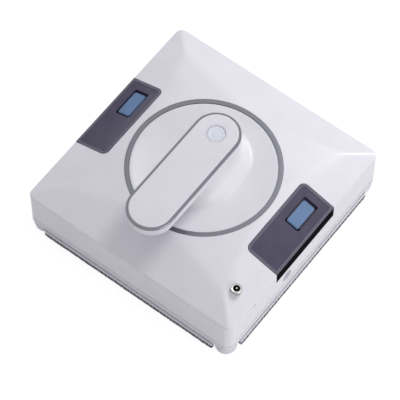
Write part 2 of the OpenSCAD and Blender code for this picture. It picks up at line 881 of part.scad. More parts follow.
module tank_left() { on_side(-1) tank_shell(); }
module tank_right() { on_side(1) tank_shell(); }
module tank_lid_left() { on_side(-1) tank_lid(); }
module tank_lid_right() { on_side(1) tank_lid(); }
module tank_cap_left() { on_side(-1) tank_cap(); }
module tank_cap_right() { on_side(1) tank_cap(); }
module tank_seal_left() { on_side(-1) tank_seal(); }
module tank_seal_right() { on_side(1) tank_seal(); }
module spray_nozzle_left() { on_side(-1) spray_nozzle(); }
module spray_nozzle_right() { on_side(1) spray_nozzle(); }
module atomiser_left() { on_side(-1) atomiser(); }
module atomiser_right() { on_side(1) atomiser(); }

module jack_collar() {
    color(steel) translate([jack_x, jack_y, 0]) {
        tube(jack_neck_r, jack_core_r, jack_low_z, jack_head_z);
        tube(jack_r, jack_core_r, jack_head_z, jack_top_z);
    }
}

module jack_insulator() {
    color(black_plastic) translate([jack_x, jack_y, 0])
        tube(jack_core_r, jack_pin_r, jack_low_z, jack_top_z - jack_core_drop);
}

module jack_pin() {
    color(steel) translate([jack_x, jack_y, 0])
        tube(jack_pin_r, 0, jack_low_z - 2 * overrun, jack_top_z - jack_core_drop / 2);
}

module jack_nut() {
    color(steel) translate([jack_x, jack_y, jack_boss_z - jack_nut_t]) difference() {
        cylinder(r = jack_nut_r, h = jack_nut_t, $fn = hex_sides);
        translate([0, 0, -overrun]) cylinder(r = jack_neck_r + run_gap, h = jack_nut_t + 2 * overrun);
    }
}

module status_lens() {
    color(black_plastic) translate([inner_w / 2, lens_y, lens_z + lens_h / 2]) {
        translate([0, -lens_l / 2 + seat_gap, -lens_h / 2 + seat_gap])
            cube([wall - seat_gap, lens_l - 2 * seat_gap, lens_h - 2 * seat_gap]);
        translate([-lens_lip_t, -lens_l / 2 - lens_lip, -lens_h / 2 - lens_lip])
            cube([lens_lip_t, lens_l + 2 * lens_lip, lens_h + 2 * lens_lip]);
    }
}

// One edge probe: a stepped puck, its stem and the head that stops it
module edge_probe(x, y) {
    puck_h = probe_top_z - probe_lift;
    color("white") translate([x * probe_c, y * probe_c, 0]) {
        tube(probe_r - probe_step, 0, probe_lift, probe_lift + puck_h / 2);
        tube(probe_r, 0, probe_lift + puck_h / 2 - probe_groove, probe_top_z);
        tube(stem_r, 0, probe_top_z, head_z);
        tube(head_r, 0, head_z, head_z + head_t);
    }
}

module edge_probe_front_left() { edge_probe(-1, -1); }
module edge_probe_front_right() { edge_probe(1, -1); }
module edge_probe_rear_left() { edge_probe(-1, 1); }
module edge_probe_rear_right() { edge_probe(1, 1); }

module probe_springs() {
    low = head_z + head_t + seat_gap;
    color(steel) for (x = [-1, 1], y = [-1, 1]) translate([x * probe_c, y * probe_c, 0])
        tube(probe_spring_r, probe_spring_r - spring_wall, low, low + probe_spring_h);
}

// The switches over the probes, each on a bracket that stands on the tray
module probe_switches() {
    low = base_z + wall;
    color(black_plastic) for (x = [0, 1], y = [0, 1]) mirror([x, 0, 0]) mirror([0, y, 0])
        translate([probe_c - switch_w / 2, switch_in, 0]) {
            translate([0, 0, low]) cube([switch_w, switch_leg, switch_z + switch_h - low]);
            translate([0, 0, switch_z]) cube([switch_w, probe_c + guide_r - switch_in, switch_h]);
        }
}

// The loop of a belt in the plane of its wheels, r away from the axles
module belt_loop(r) {
    stadium(r, -track_base / 2, track_base / 2);
}

// Turns a plan in the wheels' plane upright, centred on the track
module on_track(w) {
    translate([track_x - w / 2, 0, axle_z]) rotate([90, 0, 90]) linear_extrude(w)
        rotate([0, 0, -90]) children();
}

module track_belt() {
    rib_count = floor(track_base / rib_pitch);
    color(dark_rubber) on_track(belt_w) {
        difference() {
            belt_loop(wheel_r + belt_gap + belt_t);
            belt_loop(wheel_r + belt_gap);
        }
        for (side = [-1, 1], i = [0 : rib_count - 1])
            translate([side * (belt_out - rib_h), (i + 0.5 - rib_count / 2) * rib_pitch])
                square([2 * rib_h, rib_w], center = true);
    }
}

module track_wheel(bore) {
    color(black_plastic) translate([track_x, 0, axle_z]) difference() {
        rod_x(wheel_r, -wheel_w / 2, wheel_w / 2);
        rod_x(bore, -wheel_w, wheel_w);
        for (i = [0 : lightening_holes - 1]) rotate([i * 360 / lightening_holes, 0, 0])
            translate([0, lightening_c, 0]) rod_x(lightening_r, -wheel_w, wheel_w);
    }
}

module drive_wheel() {
    translate([0, -track_base / 2, 0]) track_wheel(axle_r);
}

module idler_wheel() {
    translate([0, track_base / 2, 0]) track_wheel(axle_r + run_gap);
}

// A point on the involute of a base circle, after a turn of roll degrees
function involute(base, roll) = base * [cos(roll) + roll * PI / 180 * sin(roll),
                                        sin(roll) - roll * PI / 180 * cos(roll)];
function turned(p, a) = [p.x * cos(a) - p.y * sin(a), p.x * sin(a) + p.y * cos(a)];

// One flank of a tooth from its root to its tip, for a tooth that points along +X
function flank(teeth) =
    let (pitch_r = gear_module * teeth / 2,
         base = pitch_r * cos(pressure_angle),
         tip_r = pitch_r + tip_share * gear_module,
         tip_roll = sqrt(pow(tip_r / base, 2) - 1) * 180 / PI,
         pitch_turn = tan(pressure_angle) * 180 / PI - pressure_angle,
         half_tooth = 90 / teeth - tooth_slack / pitch_r * 180 / PI,
         start = -half_tooth - pitch_turn,
         root_r = pitch_r - root_share * gear_module)
    [turned([root_r, 0], start),
     for (k = [0 : flank_steps]) turned(involute(base, tip_roll * k / flank_steps), start)];

// The outline of a whole gear
function gear_points(teeth) = [for (i = [0 : teeth - 1])
    let (side = flank(teeth), n = len(side))
    each [for (p = side) turned(p, i * 360 / teeth),
          for (k = [n - 1 : -1 : 0]) turned([side[k].x, -side[k].y], i * 360 / teeth)]];

module gear(teeth, x0, x1) {
    translate([x0, 0, 0]) rotate([90, 0, 90]) linear_extrude(x1 - x0) polygon(gear_points(teeth));
}

module drive_axle() {
    color(steel) translate([0, -track_base / 2, axle_z]) {
        rod_x(axle_r, gear_in_x, track_x + frame_x + frame_t);
        gear(gear_teeth, gear_in_x, gear_out_x);
    }
}

module motor_pinion() {
    color("gold") translate([0, -track_base / 2, motor_z]) {
        gear(pinion_teeth, gear_in_x, gear_out_x);
        rod_x(motor_shaft_r, motor_face_x - motor_bore_l + loose_gap, gear_in_x);
    }
}

module gear_motor() {
    color(steel) translate([0, -track_base / 2, motor_z]) difference() {
        union() {
            rod_x(motor_r, motor_face_x - gearbox_l, motor_face_x);
            rod_x(motor_can_r, motor_face_x - gearbox_l - motor_can_l, motor_face_x - gearbox_l);
        }
        rod_x(motor_shaft_r + run_gap, motor_face_x - motor_bore_l, motor_face_x + overrun);
    }
}

module idler_pins() {
    half_l = frame_x + frame_t;
    color(steel) for (side = [-1, 1]) translate([side * track_x, track_base / 2, axle_z])
        rod_x(axle_r, -half_l, half_l);
}

module track_frame() {
    slider_l = track_base - 2 * belt_out - 2 * loose_gap;
    slider_h = wheel_r - loose_gap;
    color(black_plastic) translate([track_x, 0, 0]) difference() {
        union() {
            for (side = [-1, 1]) {
                x0 = side > 0 ? frame_x : -frame_x - frame_t;
                translate([x0, -frame_half_l, frame_low_z])
                    cube([frame_t, 2 * frame_half_l, frame_top_z - frame_low_z]);
                foot_x = side > 0 ? frame_x : -frame_x - frame_foot;
                translate([foot_x, -slider_l / 2, floor_top_z])
                    cube([frame_foot, slider_l, frame_foot_t]);
            }
            translate([-frame_x, -slider_l / 2, axle_z - slider_h])
                cube([2 * frame_x, slider_l, 2 * slider_h]);
        }
        for (y = [-1, 1]) translate([0, y * track_base / 2, axle_z])
            rod_x(axle_r + run_gap, -2 * frame_x, 2 * frame_x);
    }
}

module track_belt_left() { on_side(-1) track_belt(); }
module track_belt_right() { on_side(1) track_belt(); }
module drive_wheel_left() { on_side(-1) drive_wheel(); }
module drive_wheel_right() { on_side(1) drive_wheel(); }
module idler_wheel_left() { on_side(-1) idler_wheel(); }
module idler_wheel_right() { on_side(1) idler_wheel(); }
module drive_axle_left() { on_side(-1) drive_axle(); }
module drive_axle_right() { on_side(1) drive_axle(); }
module track_frame_left() { on_side(-1) track_frame(); }
module track_frame_right() { on_side(1) track_frame(); }
module gear_motor_left() { on_side(-1) gear_motor(); }
module gear_motor_right() { on_side(1) gear_motor(); }
module motor_pinion_left() { on_side(-1) motor_pinion(); }
module motor_pinion_right() { on_side(1) motor_pinion(); }

module fan_impeller() {
    color(black_plastic) difference() {
        union() {
            tube(impeller_r, 0, impeller_top_z - back_plate_t, impeller_top_z);
            tube(hub_r, 0, impeller_low_z, impeller_top_z);
            intersection() {
                for (i = [0 : blades - 1]) rotate([0, 0, i * 360 / blades])
                    translate([blade_in_r, 0, impeller_low_z]) rotate([0, 0, blade_sweep])
                        cube([impeller_r, blade_t, impeller_top_z - impeller_low_z]);
                tube(impeller_r, 0, impeller_low_z, impeller_top_z);
            }
        }
        tube(fan_shaft_r, 0, impeller_low_z - overrun, impeller_top_z + overrun);
    }
}

module fan_shaft() {
    color(steel) tube(fan_shaft_r, 0, impeller_low_z, volute_top_z + shaft_bore_l - loose_gap);
}

module fan_motor() {
    color(steel) difference() {
        tube(fan_motor_r, 0, volute_top_z, volute_top_z + fan_motor_h);
        tube(fan_shaft_r + run_gap, 0, volute_top_z - overrun, volute_top_z + shaft_bore_l);
    }
}

// The outside of the fan housing, or its inside when drawn in by inset
module volute_form(inset) {
    tube(volute_r - inset, 0, volute_low_z + inset, volute_top_z - inset);
    translate([duct_in_x + inset, 0, volute_low_z + inset])
        cube([volute_r - duct_in_x - 2 * inset, duct_end_y + (inset > 0 ? overrun : 0),
              volute_h - 2 * inset]);
}

module fan_housing() {
    color(black_plastic) difference() {
        volute_form(0);
        volute_form(wall);
        tube(inlet_r, 0, volute_low_z - overrun, volute_low_z + wall + overrun);
        tube(hub_r, 0, volute_top_z - 2 * wall, volute_top_z + overrun);
    }
}

module fan_guard() {
    slot_l = guard_r - guard_hub_r - wall;
    color(black_plastic) difference() {
        tube(guard_r, 0, floor_z, floor_top_z);
        for (i = [0 : guard_slots - 1]) rotate([0, 0, i * 360 / guard_slots])
            translate([guard_hub_r, -guard_slot_w / 2, floor_z - overrun])
                cube([slot_l, guard_slot_w, wall + 2 * overrun]);
    }
}

module fan_gasket() {
    color(dark_rubber) tube(inlet_r + wall + gasket_w, inlet_r + wall, floor_top_z, volute_low_z);
}

// The cells of the battery, two beside and two above
module battery_cells() {
    color("royalblue") for (row = [-1, 1], layer = [0, 1])
        translate([holder_x, holder_y + row * cell_pitch / 2, cell_low_z + cell_r + layer * cell_pitch])
            rod_x(cell_r, -cell_l / 2, cell_l / 2);
}

module battery_holder() {
    color(black_plastic) translate([holder_x, holder_y, floor_top_z]) difference() {
        translate([-holder_w / 2, -holder_d / 2, 0]) cube([holder_w, holder_d, cell_pitch + holder_t]);
        translate([-holder_w / 2 + holder_t, -holder_d / 2 + holder_t, holder_t])
            cube([holder_w - 2 * holder_t, holder_d - 2 * holder_t, 2 * cell_pitch]);
    }
}

// Sizes and places of the parts on the main board, as shares of the board
part_shares = [[-0.32, 0.2, 0.22, 0.3, 0.08], [0.05, 0.1, 0.2, 0.34, 0.05],
               [0.34, 0.25, 0.16, 0.22, 0.3], [-0.05, -0.32, 0.5, 0.16, 0.2]];

module main_board() {
    color(board_green) translate([0, main_y, main_low_z]) {
        translate([-board_w / 2, -board_d / 2, 0]) cube([board_w, board_d, board_t]);
        for (s = part_shares)
            translate([(s[0] - s[2] / 2) * board_w, (s[1] - s[3] / 2) * board_d, board_t])
                cube([s[2] * board_w, s[3] * board_d, s[4] * board_d]);
    }
}

module cover_screws() {
    seat_z = floor_z + screw_sink;
    color(steel) for (p = screw_places) translate([p.x, p.y, 0]) {
        tube(screw_head_r, 0, seat_z - screw_head_h, seat_z);
        tube(screw_r, 0, seat_z, seat_z + screw_l);
    }
}

top_cover();
base_tray();
handle_base();
handle_cover();
dish_trim_ring();
handle_trim();
power_button();
button_bezel();
button_spring();
button_board();
tank_left();
tank_right();
tank_lid_left();
tank_lid_right();
tank_cap_left();
tank_cap_right();
tank_seal_left();
tank_seal_right();
spray_nozzle_left();
spray_nozzle_right();
atomiser_left();
atomiser_right();
jack_collar();
jack_insulator();
jack_pin();
jack_nut();
status_lens();
pad_frame();
cleaning_cloth();
edge_probe_front_left();
edge_probe_front_right();
edge_probe_rear_left();
edge_probe_rear_right();
probe_springs();
probe_switches();
track_belt_left();
track_belt_right();
drive_wheel_left();
drive_wheel_right();
idler_wheel_left();
idler_wheel_right();
drive_axle_left();
drive_axle_right();
idler_pins();
track_frame_left();
track_frame_right();
gear_motor_left();
gear_motor_right();
motor_pinion_left();
motor_pinion_right();
fan_impeller();
fan_shaft();
fan_motor();
fan_housing();
fan_guard();
fan_gasket();
battery_cells();
battery_holder();
main_board();
cover_screws();
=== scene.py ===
"""Dresses the window cleaning robot: its housing, dish, handle, tanks, pad, tracks and inner parts.

Sizes are in millimetres in the robot's own frame. The glass is at z = 0, +Z points away from it,
+Y to the power button and +X to the right tank. Every finished mesh is in metres.
"""

import json
import logging
import math
from collections.abc import Callable, Sequence
from dataclasses import dataclass
from enum import Enum

import bpy
import numpy as np
from mathutils import Matrix, Vector

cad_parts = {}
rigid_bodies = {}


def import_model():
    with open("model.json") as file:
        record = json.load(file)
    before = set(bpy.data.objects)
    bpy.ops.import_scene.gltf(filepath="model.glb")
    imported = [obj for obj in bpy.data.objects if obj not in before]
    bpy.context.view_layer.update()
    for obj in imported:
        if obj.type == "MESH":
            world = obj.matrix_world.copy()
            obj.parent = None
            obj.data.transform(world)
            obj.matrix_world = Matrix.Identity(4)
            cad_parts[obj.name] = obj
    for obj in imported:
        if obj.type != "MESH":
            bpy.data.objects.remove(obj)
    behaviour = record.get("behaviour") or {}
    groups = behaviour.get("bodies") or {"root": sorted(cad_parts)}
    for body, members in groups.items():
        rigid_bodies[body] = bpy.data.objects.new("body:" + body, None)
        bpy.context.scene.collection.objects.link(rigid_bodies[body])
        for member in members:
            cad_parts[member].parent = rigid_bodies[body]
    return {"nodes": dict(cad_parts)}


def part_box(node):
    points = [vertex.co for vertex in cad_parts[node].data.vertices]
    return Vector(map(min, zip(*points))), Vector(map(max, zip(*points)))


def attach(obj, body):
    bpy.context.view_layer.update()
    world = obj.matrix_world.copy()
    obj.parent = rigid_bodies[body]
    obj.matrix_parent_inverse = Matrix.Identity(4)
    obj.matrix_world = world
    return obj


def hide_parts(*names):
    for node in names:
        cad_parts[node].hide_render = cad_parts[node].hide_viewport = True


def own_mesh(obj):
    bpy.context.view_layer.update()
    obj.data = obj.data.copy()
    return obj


for leftover in list(bpy.data.objects):
    bpy.data.objects.remove(leftover)
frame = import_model()

LOG = logging.getLogger("robot")
Colour = tuple[float, float, float, float]
Spot = tuple[float, float, float]
Pair = tuple[float, float]
Piece = bpy.types.Object
Tree = bpy.types.NodeTree
Socket = bpy.types.NodeSocket
Feeds = dict[str | int, object]
Sizes = tuple[float, ...]
Test = Callable[[Vector, Vector], bool]

MM = 0.001
MERGE = 0.002 * MM
EVEN = (1.0, 1.0, 1.0)
# What the classes share: the right tank's plan, the nozzle, the walls and the roof's edge, the
# dish's seat and ring, and the hinge pins of the filler cap
TANK_IN_X, TANK_HALF_L, TANK_CORNER, TANK_OVER_Z = 83.3, 45.5, 6.0, 90.0
NOZZLE_Y, NOZZLE_Z = -28.21, 30.8
WALL_X, ROOF_EDGE_Z = 120.0, 57.0
DISH_SEAT_Z, RING_R, DISH_R = 68.8, 75.6, 71.0
PIN_Y, PIN_Z = -12.5, -2.5
QUARTER_TURN = Matrix.Rotation(math.pi / 2, 4, "Y")


class Side(Enum):
    """The robot's two sides, by their sign along X."""

    LEFT = -1
    RIGHT = 1


class Pick(Enum):
    """What a selection in edit mode is made of."""

    EDGES = "EDGE"
    FACES = "FACE"


class Join(Enum):
    """How a tool meets a piece."""

    CUT = "DIFFERENCE"
    ADD = "UNION"


def linear(code: str) -> Colour:
    """Turns a colour as it is seen on a screen into the linear one that shaders take.

    Args:
        code: The colour as six hex digits after a #.

    Returns:
        Linear red, green and blue, and an alpha of 1.
    """
    shares = [int(code[i : i + 2], 16) / 255 for i in (1, 3, 5)]
    bent = [s / 12.92 if s <= 0.04045 else ((s + 0.055) / 1.055) ** 2.4 for s in shares]
    return (*bent, 1.0)


def grey(value: float) -> Colour:
    """Returns a linear grey."""
    return (value, value, value, 1.0)


def bare_tree(owner: bpy.types.Material | bpy.types.World) -> Tree:
    """Gives a material or the world an empty node tree.

    Args:
        owner: The material or the world.

    Returns:
        The node tree.
    """
    owner.use_nodes = True
    owner.node_tree.nodes.clear()
    return owner.node_tree


def feed(tree: Tree, node: bpy.types.Node, feeds: Feeds) -> None:
    """Links or sets a node's inputs.

    Args:
        tree: The node tree.
        node: The node.
        feeds: A socket or a value for each input, by the input's name or number.
    """
    for name, source in feeds.items():
        if isinstance(source, Socket):
            tree.links.new(source, node.inputs[name])
        else:
            node.inputs[name].default_value = source


def add_node(
    tree: Tree,
    kind: str,
    feeds: Feeds | None = None,
    stops: Sequence[tuple[float, str]] = (),
    **settings: object,
) -> bpy.types.Node:
    """Adds a shader node with its settings and its links.

    Args:
        tree: The node tree.
        kind: The node's type without its ShaderNode prefix.
        feeds: A socket or a value for each input, by the input's name or number.
        stops: The two places from 0 to 1 and the hex colours of a colour ramp.
        settings: The node's own attributes.

    Returns:
        The new node.
    """
    made = tree.nodes.new("ShaderNode" + kind)
    for name, value in settings.items():
        setattr(made, name, value)
    feed(tree, made, feeds or {})
    if stops:
        for element, (place, code) in zip(made.color_ramp.elements, stops):
            element.position = place
            element.color = linear(code)
    return made


@dataclass(frozen=True)
class Bench:
    """A finish in the making.

    Attributes:
        tree: The material's node tree.
        shader: Its principled shader.
        places: The piece's own coordinates.
    """

    tree: Tree
    shader: bpy.types.Node
    places: Socket

    def add(self, kind: str, feeds: Feeds, number: int = 0, **more: object) -> Socket:
        """Adds a node as add_node does, and returns one of its outputs."""
        return add_node(self.tree, kind, feeds, **more).outputs[number]

    def feed(self, feeds: Feeds) -> None:
        """Links or sets the shader's inputs."""
        feed(self.tree, self.shader, feeds)

    def lumps(self, size: float, detail: float, packed: Spot = EVEN) -> Socket:
        """Lays soft lumps of a real size.

        Args:
            size: The lumps' size in millimetres.
            detail: How many finer layers they have.
            packed: How closely they are packed along each axis.

        Returns:
            A value from about 0.3 to 0.7.
        """
        places = self.places
        if packed != EVEN:
            places = self.add("Mapping", {"Vector": places, "Scale": packed})
        return self.add("TexNoise", {"Vector": places, "Scale": 1 / (size * MM), "Detail": detail})

    def tone(self, source: Socket, *stops: tuple[float, str]) -> None:
        """Colours the surface by a value, from one stop to the other."""
        self.feed({"Base Color": self.add("ValToRGB", {"Fac": source}, stops=stops)})

    def wear(self, source: Socket, low: float, high: float) -> None:
        """Varies the roughness with the lumps, from a low to a high value."""
        run = {"Value": source, "From Min": 0.3, "From Max": 0.7, "To Min": low, "To Max": high}
        self.feed({"Roughness": self.add("MapRange", run)})

    def emboss(self, *layers: tuple[Socket, float]) -> None:
        """Stacks bumps on the shader.

        Args:
            layers: Heights from 0 to 1, each with its depth in millimetres.
        """
        below: Feeds = {}
        for height, depth in layers:
            feeds = {"Height": height, "Distance": depth * MM, "Strength": 1.0, **below}
            below = {"Normal": self.add("Bump", feeds)}
        self.feed(below)


@dataclass(frozen=True)
class Finish:
    """A surface as its maker would call it.

    Attributes:
        name: The material's name.
        colour: Its colour on a screen.
        roughness: Its mean roughness.
        ior: Its index of refraction.
    """

    name: str
    colour: str
    roughness: float
    ior: float = 1.5

    def build(self) -> bpy.types.Material:
        """Makes the material, once.

        Returns:
            The material.
        """
        made = bpy.data.materials.get(self.name)
        if made is None:
            made = bpy.data.materials.new(self.name)
            tree = bare_tree(made)
            start = {"IOR": self.ior, "Roughness": self.roughness}
            shader = add_node(tree, "BsdfPrincipled", start)
            add_node(tree, "OutputMaterial", {"Surface": shader.outputs["BSDF"]})
            self.dress(Bench(tree, shader, add_node(tree, "TexCoord").outputs["Object"]))
            made.diffuse_color = linear(self.colour)
        return made

    def dress(self, bench: Bench) -> None:
        """Gives the shader its pattern.

        Args:
            bench: The finish in the making.
        """
        raise NotImplementedError


@dataclass(frozen=True)
class MouldedPlastic(Finish):
    """Injection-moulded plastic, with the mould's grain and a faint flow tone.

    Attributes:
        shade: The colour of its darker flow marks.
        grain: Size of the mould's grain.
        grain_depth: Depth of the mould's grain.
        sway: Depth of the slow waves that a cooled wall has.
        glow: Share of light that passes under the surface.
        glow_depth: How deep that light goes.
        flow: Size of the flow marks and of the slow waves.
    """

    shade: str = "#000000"
    grain: float = 0.35
    grain_depth: float = 0.004
    sway: float = 0.012
    glow: float = 0.0
    glow_depth: float = 1.2
    flow: float = 26.0

    def dress(self, bench: Bench) -> None:
        """Gives the shader flow tones, grain and slow waves.

        Args:
            bench: The finish in the making.
        """
        flow, fine = bench.lumps(self.flow, 3.0), bench.lumps(self.grain, 1.0)
        bench.tone(flow, (0.35, self.shade), (0.62, self.colour))
        bench.wear(fine, self.roughness - 0.04, self.roughness + 0.05)
        bench.emboss((flow, self.sway), (fine, self.grain_depth))
        if self.glow > 0:
            bench.feed({"Subsurface Weight": self.glow, "Subsurface Radius": EVEN})
            bench.feed({"Subsurface Scale": self.glow_depth * MM})


@dataclass(frozen=True)
class SmokedPlastic(Finish):
    """Smoke-tinted plastic, cloudy in tone and polished, which shows nothing behind it.

    Attributes:
        depth_tone: The colour where the plastic looks thickest.
        coat: Share of the polished coat over it.
        cloud: Size of the clouds in its tint.
        ripple: Size of the polish's unevenness.
    """

    depth_tone: str = "#000000"
    coat: float = 0.15
    cloud: float = 18.0
    ripple: float = 2.2

    def dress(self, bench: Bench) -> None:
        """Gives the shader a cloudy tint and a polished coat.

        Args:
            bench: The finish in the making.
        """
        cloud, polish = bench.lumps(self.cloud, 2.0), bench.lumps(self.ripple, 3.0)
        bench.tone(cloud, (0.3, self.depth_tone), (0.65, self.colour))
        bench.wear(polish, self.roughness - 0.03, self.roughness + 0.04)
        bench.feed({"Coat Weight": self.coat, "Coat Roughness": 0.12})
        bench.emboss((polish, 0.003))


@dataclass(frozen=True)
class WorkedMetal(Finish):
    """Metal with the marks of how it was worked.

    Attributes:
        shade: The colour in the bottom of its marks.
        marks: Size of the marks.
        marks_depth: Depth of the marks.
        lay: How closely packed the marks are along each axis.
    """

    shade: str = "#000000"
    marks: float = 0.6
    marks_depth: float = 0.003
    lay: Spot = EVEN

    def dress(self, bench: Bench) -> None:
        """Gives the shader its tone and marks.

        Args:
            bench: The finish in the making.
        """
        bench.feed({"Metallic": 1.0})
        marks = bench.lumps(self.marks, 3.0, self.lay)
        bench.tone(marks, (0.3, self.shade), (0.6, self.colour))
        bench.wear(marks, self.roughness + 0.06, self.roughness - 0.05)
        bench.emboss((marks, self.marks_depth))


@dataclass(frozen=True)
class MouldedRubber(Finish):
    """Rubber pressed in a blasted mould, with fine pores and a haze of dust.

    Attributes:
        dust: The colour of the dust.
        pore: Size of the pores.
        haze: Size of the patches of dust.
    """

    dust: str = "#000000"
    pore: float = 0.5
    haze: float = 9.0

    def dress(self, bench: Bench) -> None:
        """Gives the shader pores and dust.

        Args:
            bench: The finish in the making.
        """
        pores, haze = bench.lumps(self.pore, 4.0), bench.lumps(self.haze, 4.0)
        bench.tone(haze, (0.45, self.colour), (0.72, self.dust))
        bench.wear(pores, self.roughness - 0.08, self.roughness + 0.06)
        bench.emboss((pores, 0.03))


@dataclass(frozen=True)
class LoopPile(Finish):
    """Knitted microfibre, rows of short loops that run slantwise over a dark ground.

    Attributes:
        tips: The colour of the loops' tips.
        row: Distance between two rows of loops.
        loop: Size of a loop.
        fibre: Size of a tuft of fibres.
        slant: How the rows are turned, in radians.
    """

    tips: str = "#000000"
    row: float = 2.6
    loop: float = 1.3
    fibre: float = 0.45
    slant: Spot = (0.35, 0.35, 0.78)

    def dress(self, bench: Bench) -> None:
        """Gives the shader its rows of loops.

        Args:
            bench: The finish in the making.
        """
        turned = bench.add("Mapping", {"Vector": bench.places, "Rotation": self.slant})
        # The wave's own scale draws 3.2 rows where the row's size asks for one
        wave = {"Vector": turned, "Scale": 1 / (self.row * MM) / 3.2, "Distortion": 2.5}
        rows = bench.add("TexWave", {**wave, "Detail": 2.0, "Detail Scale": 2.0}, 1)
        loops = bench.add("TexVoronoi", {"Vector": turned, "Scale": 1 / (self.loop * MM)})
        fibres = bench.lumps(self.fibre, 3.0)
        lifted = bench.add("Math", {0: fibres, 1: -0.35}, operation="SUBTRACT")
        height = bench.add("Math", {0: rows, 1: lifted}, operation="MULTIPLY")
        bench.tone(height, (0.25, self.colour), (0.8, self.tips))
        bench.feed({"Sheen Weight": 0.35, "Sheen Roughness": 0.5})
        bench.emboss((height, 0.5), (loops, 0.25), (fibres, 0.12))


@dataclass(frozen=True)
class CircuitBoard(Finish):
    """A printed circuit board with its solder mask, tracks and black parts above its top.

    Attributes:
        top: Height of the board's top face.
        track: The colour of copper under the mask.
        pitch: Distance between the tracks' corners.
    """

    top: float = 0.0
    track: str = "#2F7A53"
    pitch: float = 9.0

    def dress(self, bench: Bench) -> None:
        """Gives the shader tracks on the board and black above it.

        Args:
            bench: The finish in the making.
        """
        brick = {"Vector": bench.places, "Scale": 1 / (self.pitch * MM), "Mortar Size": 0.02}
        tones = {"Color1": grey(0.0), "Color2": grey(0.0), "Mortar": grey(1.0)}
        lines = bench.add("TexBrick", {**brick, **tones})
        fine = bench.lumps(1.2, 2.0)
        mask = {0: lines, 6: linear(self.colour), 7: linear(self.track)}
        masked = bench.add("Mix", mask, 2, data_type="RGBA")
        height = bench.add("SeparateXYZ", {"Vector": bench.places}, 2)
        top = (self.top + 0.05) * MM
        above = bench.add("Math", {0: height, 1: top}, operation="GREATER_THAN")
        parts = bench.add("ValToRGB", {"Fac": fine}, stops=((0.3, "#141416"), (0.7, "#26262a")))
        shown = bench.add("Mix", {0: above, 6: masked, 7: parts}, 2, data_type="RGBA")
        bench.feed({"Base Color": shown})
        bench.wear(fine, self.roughness - 0.05, self.roughness + 0.1)
        bench.emboss((lines, 0.03), (fine, 0.01))


@dataclass(frozen=True)
class ShrinkWrap(Finish):
    """Shrink film round a battery cell, whose steel ends show.

    Attributes:
        middle: Where the cells' middles are along X.
        reach: How far the film runs from there.
        shade: The film's colour in its wrinkles.
        metal: The colour of the ends.
    """

    middle: float = 0.0
    reach: float = 10.0
    shade: str = "#1d4f86"
    metal: str = "#B5B7BA"

    def dress(self, bench: Bench) -> None:
        """Gives the shader film and bare ends.

        Args:
            bench: The finish in the making.
        """
        wrinkle = bench.lumps(3.0, 3.0, (0.25, 1.0, 1.0))
        along = bench.add("SeparateXYZ", {"Vector": bench.places})
        off = bench.add("Math", {0: along, 1: self.middle * MM}, operation="SUBTRACT")
        far = bench.add("Math", {0: off}, operation="ABSOLUTE")
        bare = bench.add("Math", {0: far, 1: self.reach * MM}, operation="GREATER_THAN")
        stops = ((0.3, self.shade), (0.7, self.colour))
        film = bench.add("ValToRGB", {"Fac": wrinkle}, stops=stops)
        shown = bench.add("Mix", {0: bare, 6: film, 7: linear(self.metal)}, 2, data_type="RGBA")
        bench.feed({"Base Color": shown, "Metallic": bare})
        bench.wear(wrinkle, self.roughness - 0.05, self.roughness + 0.1)
        bench.emboss((wrinkle, 0.03))


# White shell: glossy styrene blend, whose faint waves break up a long highlight
WHITE_SHELL = MouldedPlastic("gloss_moulded_white_shell", "#E6E5E9", 0.36, 1.5, "#E3E2E6")
# Underside and pad frame: the same white from a lightly blasted mould, so it shines less
WHITE_MATT = MouldedPlastic(
    "blasted_moulded_white_frame", "#E6E6EA", 0.5, 1.52, "#DFDFE5", 0.6, 0.012, 0.02
)
# Button: frosted clear cap with light inside its wall, which makes it a milky, faintly cool white
FROSTED_CAP = MouldedPlastic(
    "frosted_milky_button_cap", "#E2E6EC", 0.42, 1.5, "#DADFE8", 0.25, 0.006, 0.004, 0.35
)
# Filler cap: soft-touch blue, matt, so that it keeps its colour from every side
BLUE_CAP = MouldedPlastic("matt_moulded_blue_cap", "#607EA5", 0.52, 1.5, "#577497", 0.4, 0.01, 0.01)
# Nozzle disc: pale grey acetal, waxy and dull
GREY_ACETAL = MouldedPlastic("waxy_grey_acetal", "#B2B2BC", 0.5, 1.4, "#A9A9B3", 0.4, 0.006, 0.004)
# Inner mouldings: black glass-filled nylon, with a coarse dull grain
BLACK_NYLON = MouldedPlastic(
    "glass_filled_black_nylon", "#202125", 0.5, 1.53, "#17181A", 0.7, 0.015
)
# Window and jack insert: black that mirrors nothing, so both read as dark holes from every side
BLACK_WINDOW = MouldedPlastic("dull_black_window", "#0C0C0E", 0.5, 1.04, "#08080A", 0.8, 0.001)
# Tank lid: purple-grey smoke, whose darker clouds make it look deep over the water
SMOKED_LID = SmokedPlastic("smoked_tank_lid", "#433E56", 0.3, 1.42, "#3A354C")
# Rim of the lid: the same smoke, made paler as a painted highlight where light runs along its edge
SMOKED_RIM_HIGHLIGHT = SmokedPlastic("smoked_tank_rim_painted_highlight", "#656170", 0.28, 1.42, "#5B5766")
# Tank walls: near-black, with an index so low that no shine lightens them in their gap
SMOKED_WALL = SmokedPlastic("smoked_tank_wall", "#0E0C12", 0.45, 1.02, "#09080C", 0.0)
# Trims: satin plated plastic, with fine even marks that soften reflections
SATIN_PLATE = WorkedMetal("satin_plated_trim", "#7F8088", 0.3, 1.5, "#75767E", 0.8, 0.002)
# Power jack: turned and nickel plated, with fine rings that the light catches
TURNED_NICKEL = WorkedMetal(
    "turned_nickel_jack", "#C9C8C6", 0.22, 1.5, "#AFAEAC", 0.5, 0.004, (0.3, 0.3, 3.0)
)
# Motor cans and screws: zinc-plated steel, cloudy and slightly rough
ZINC_STEEL = WorkedMetal("zinc_plated_steel", "#A9ABAE", 0.36, 1.5, "#8F9194", 1.6, 0.004)
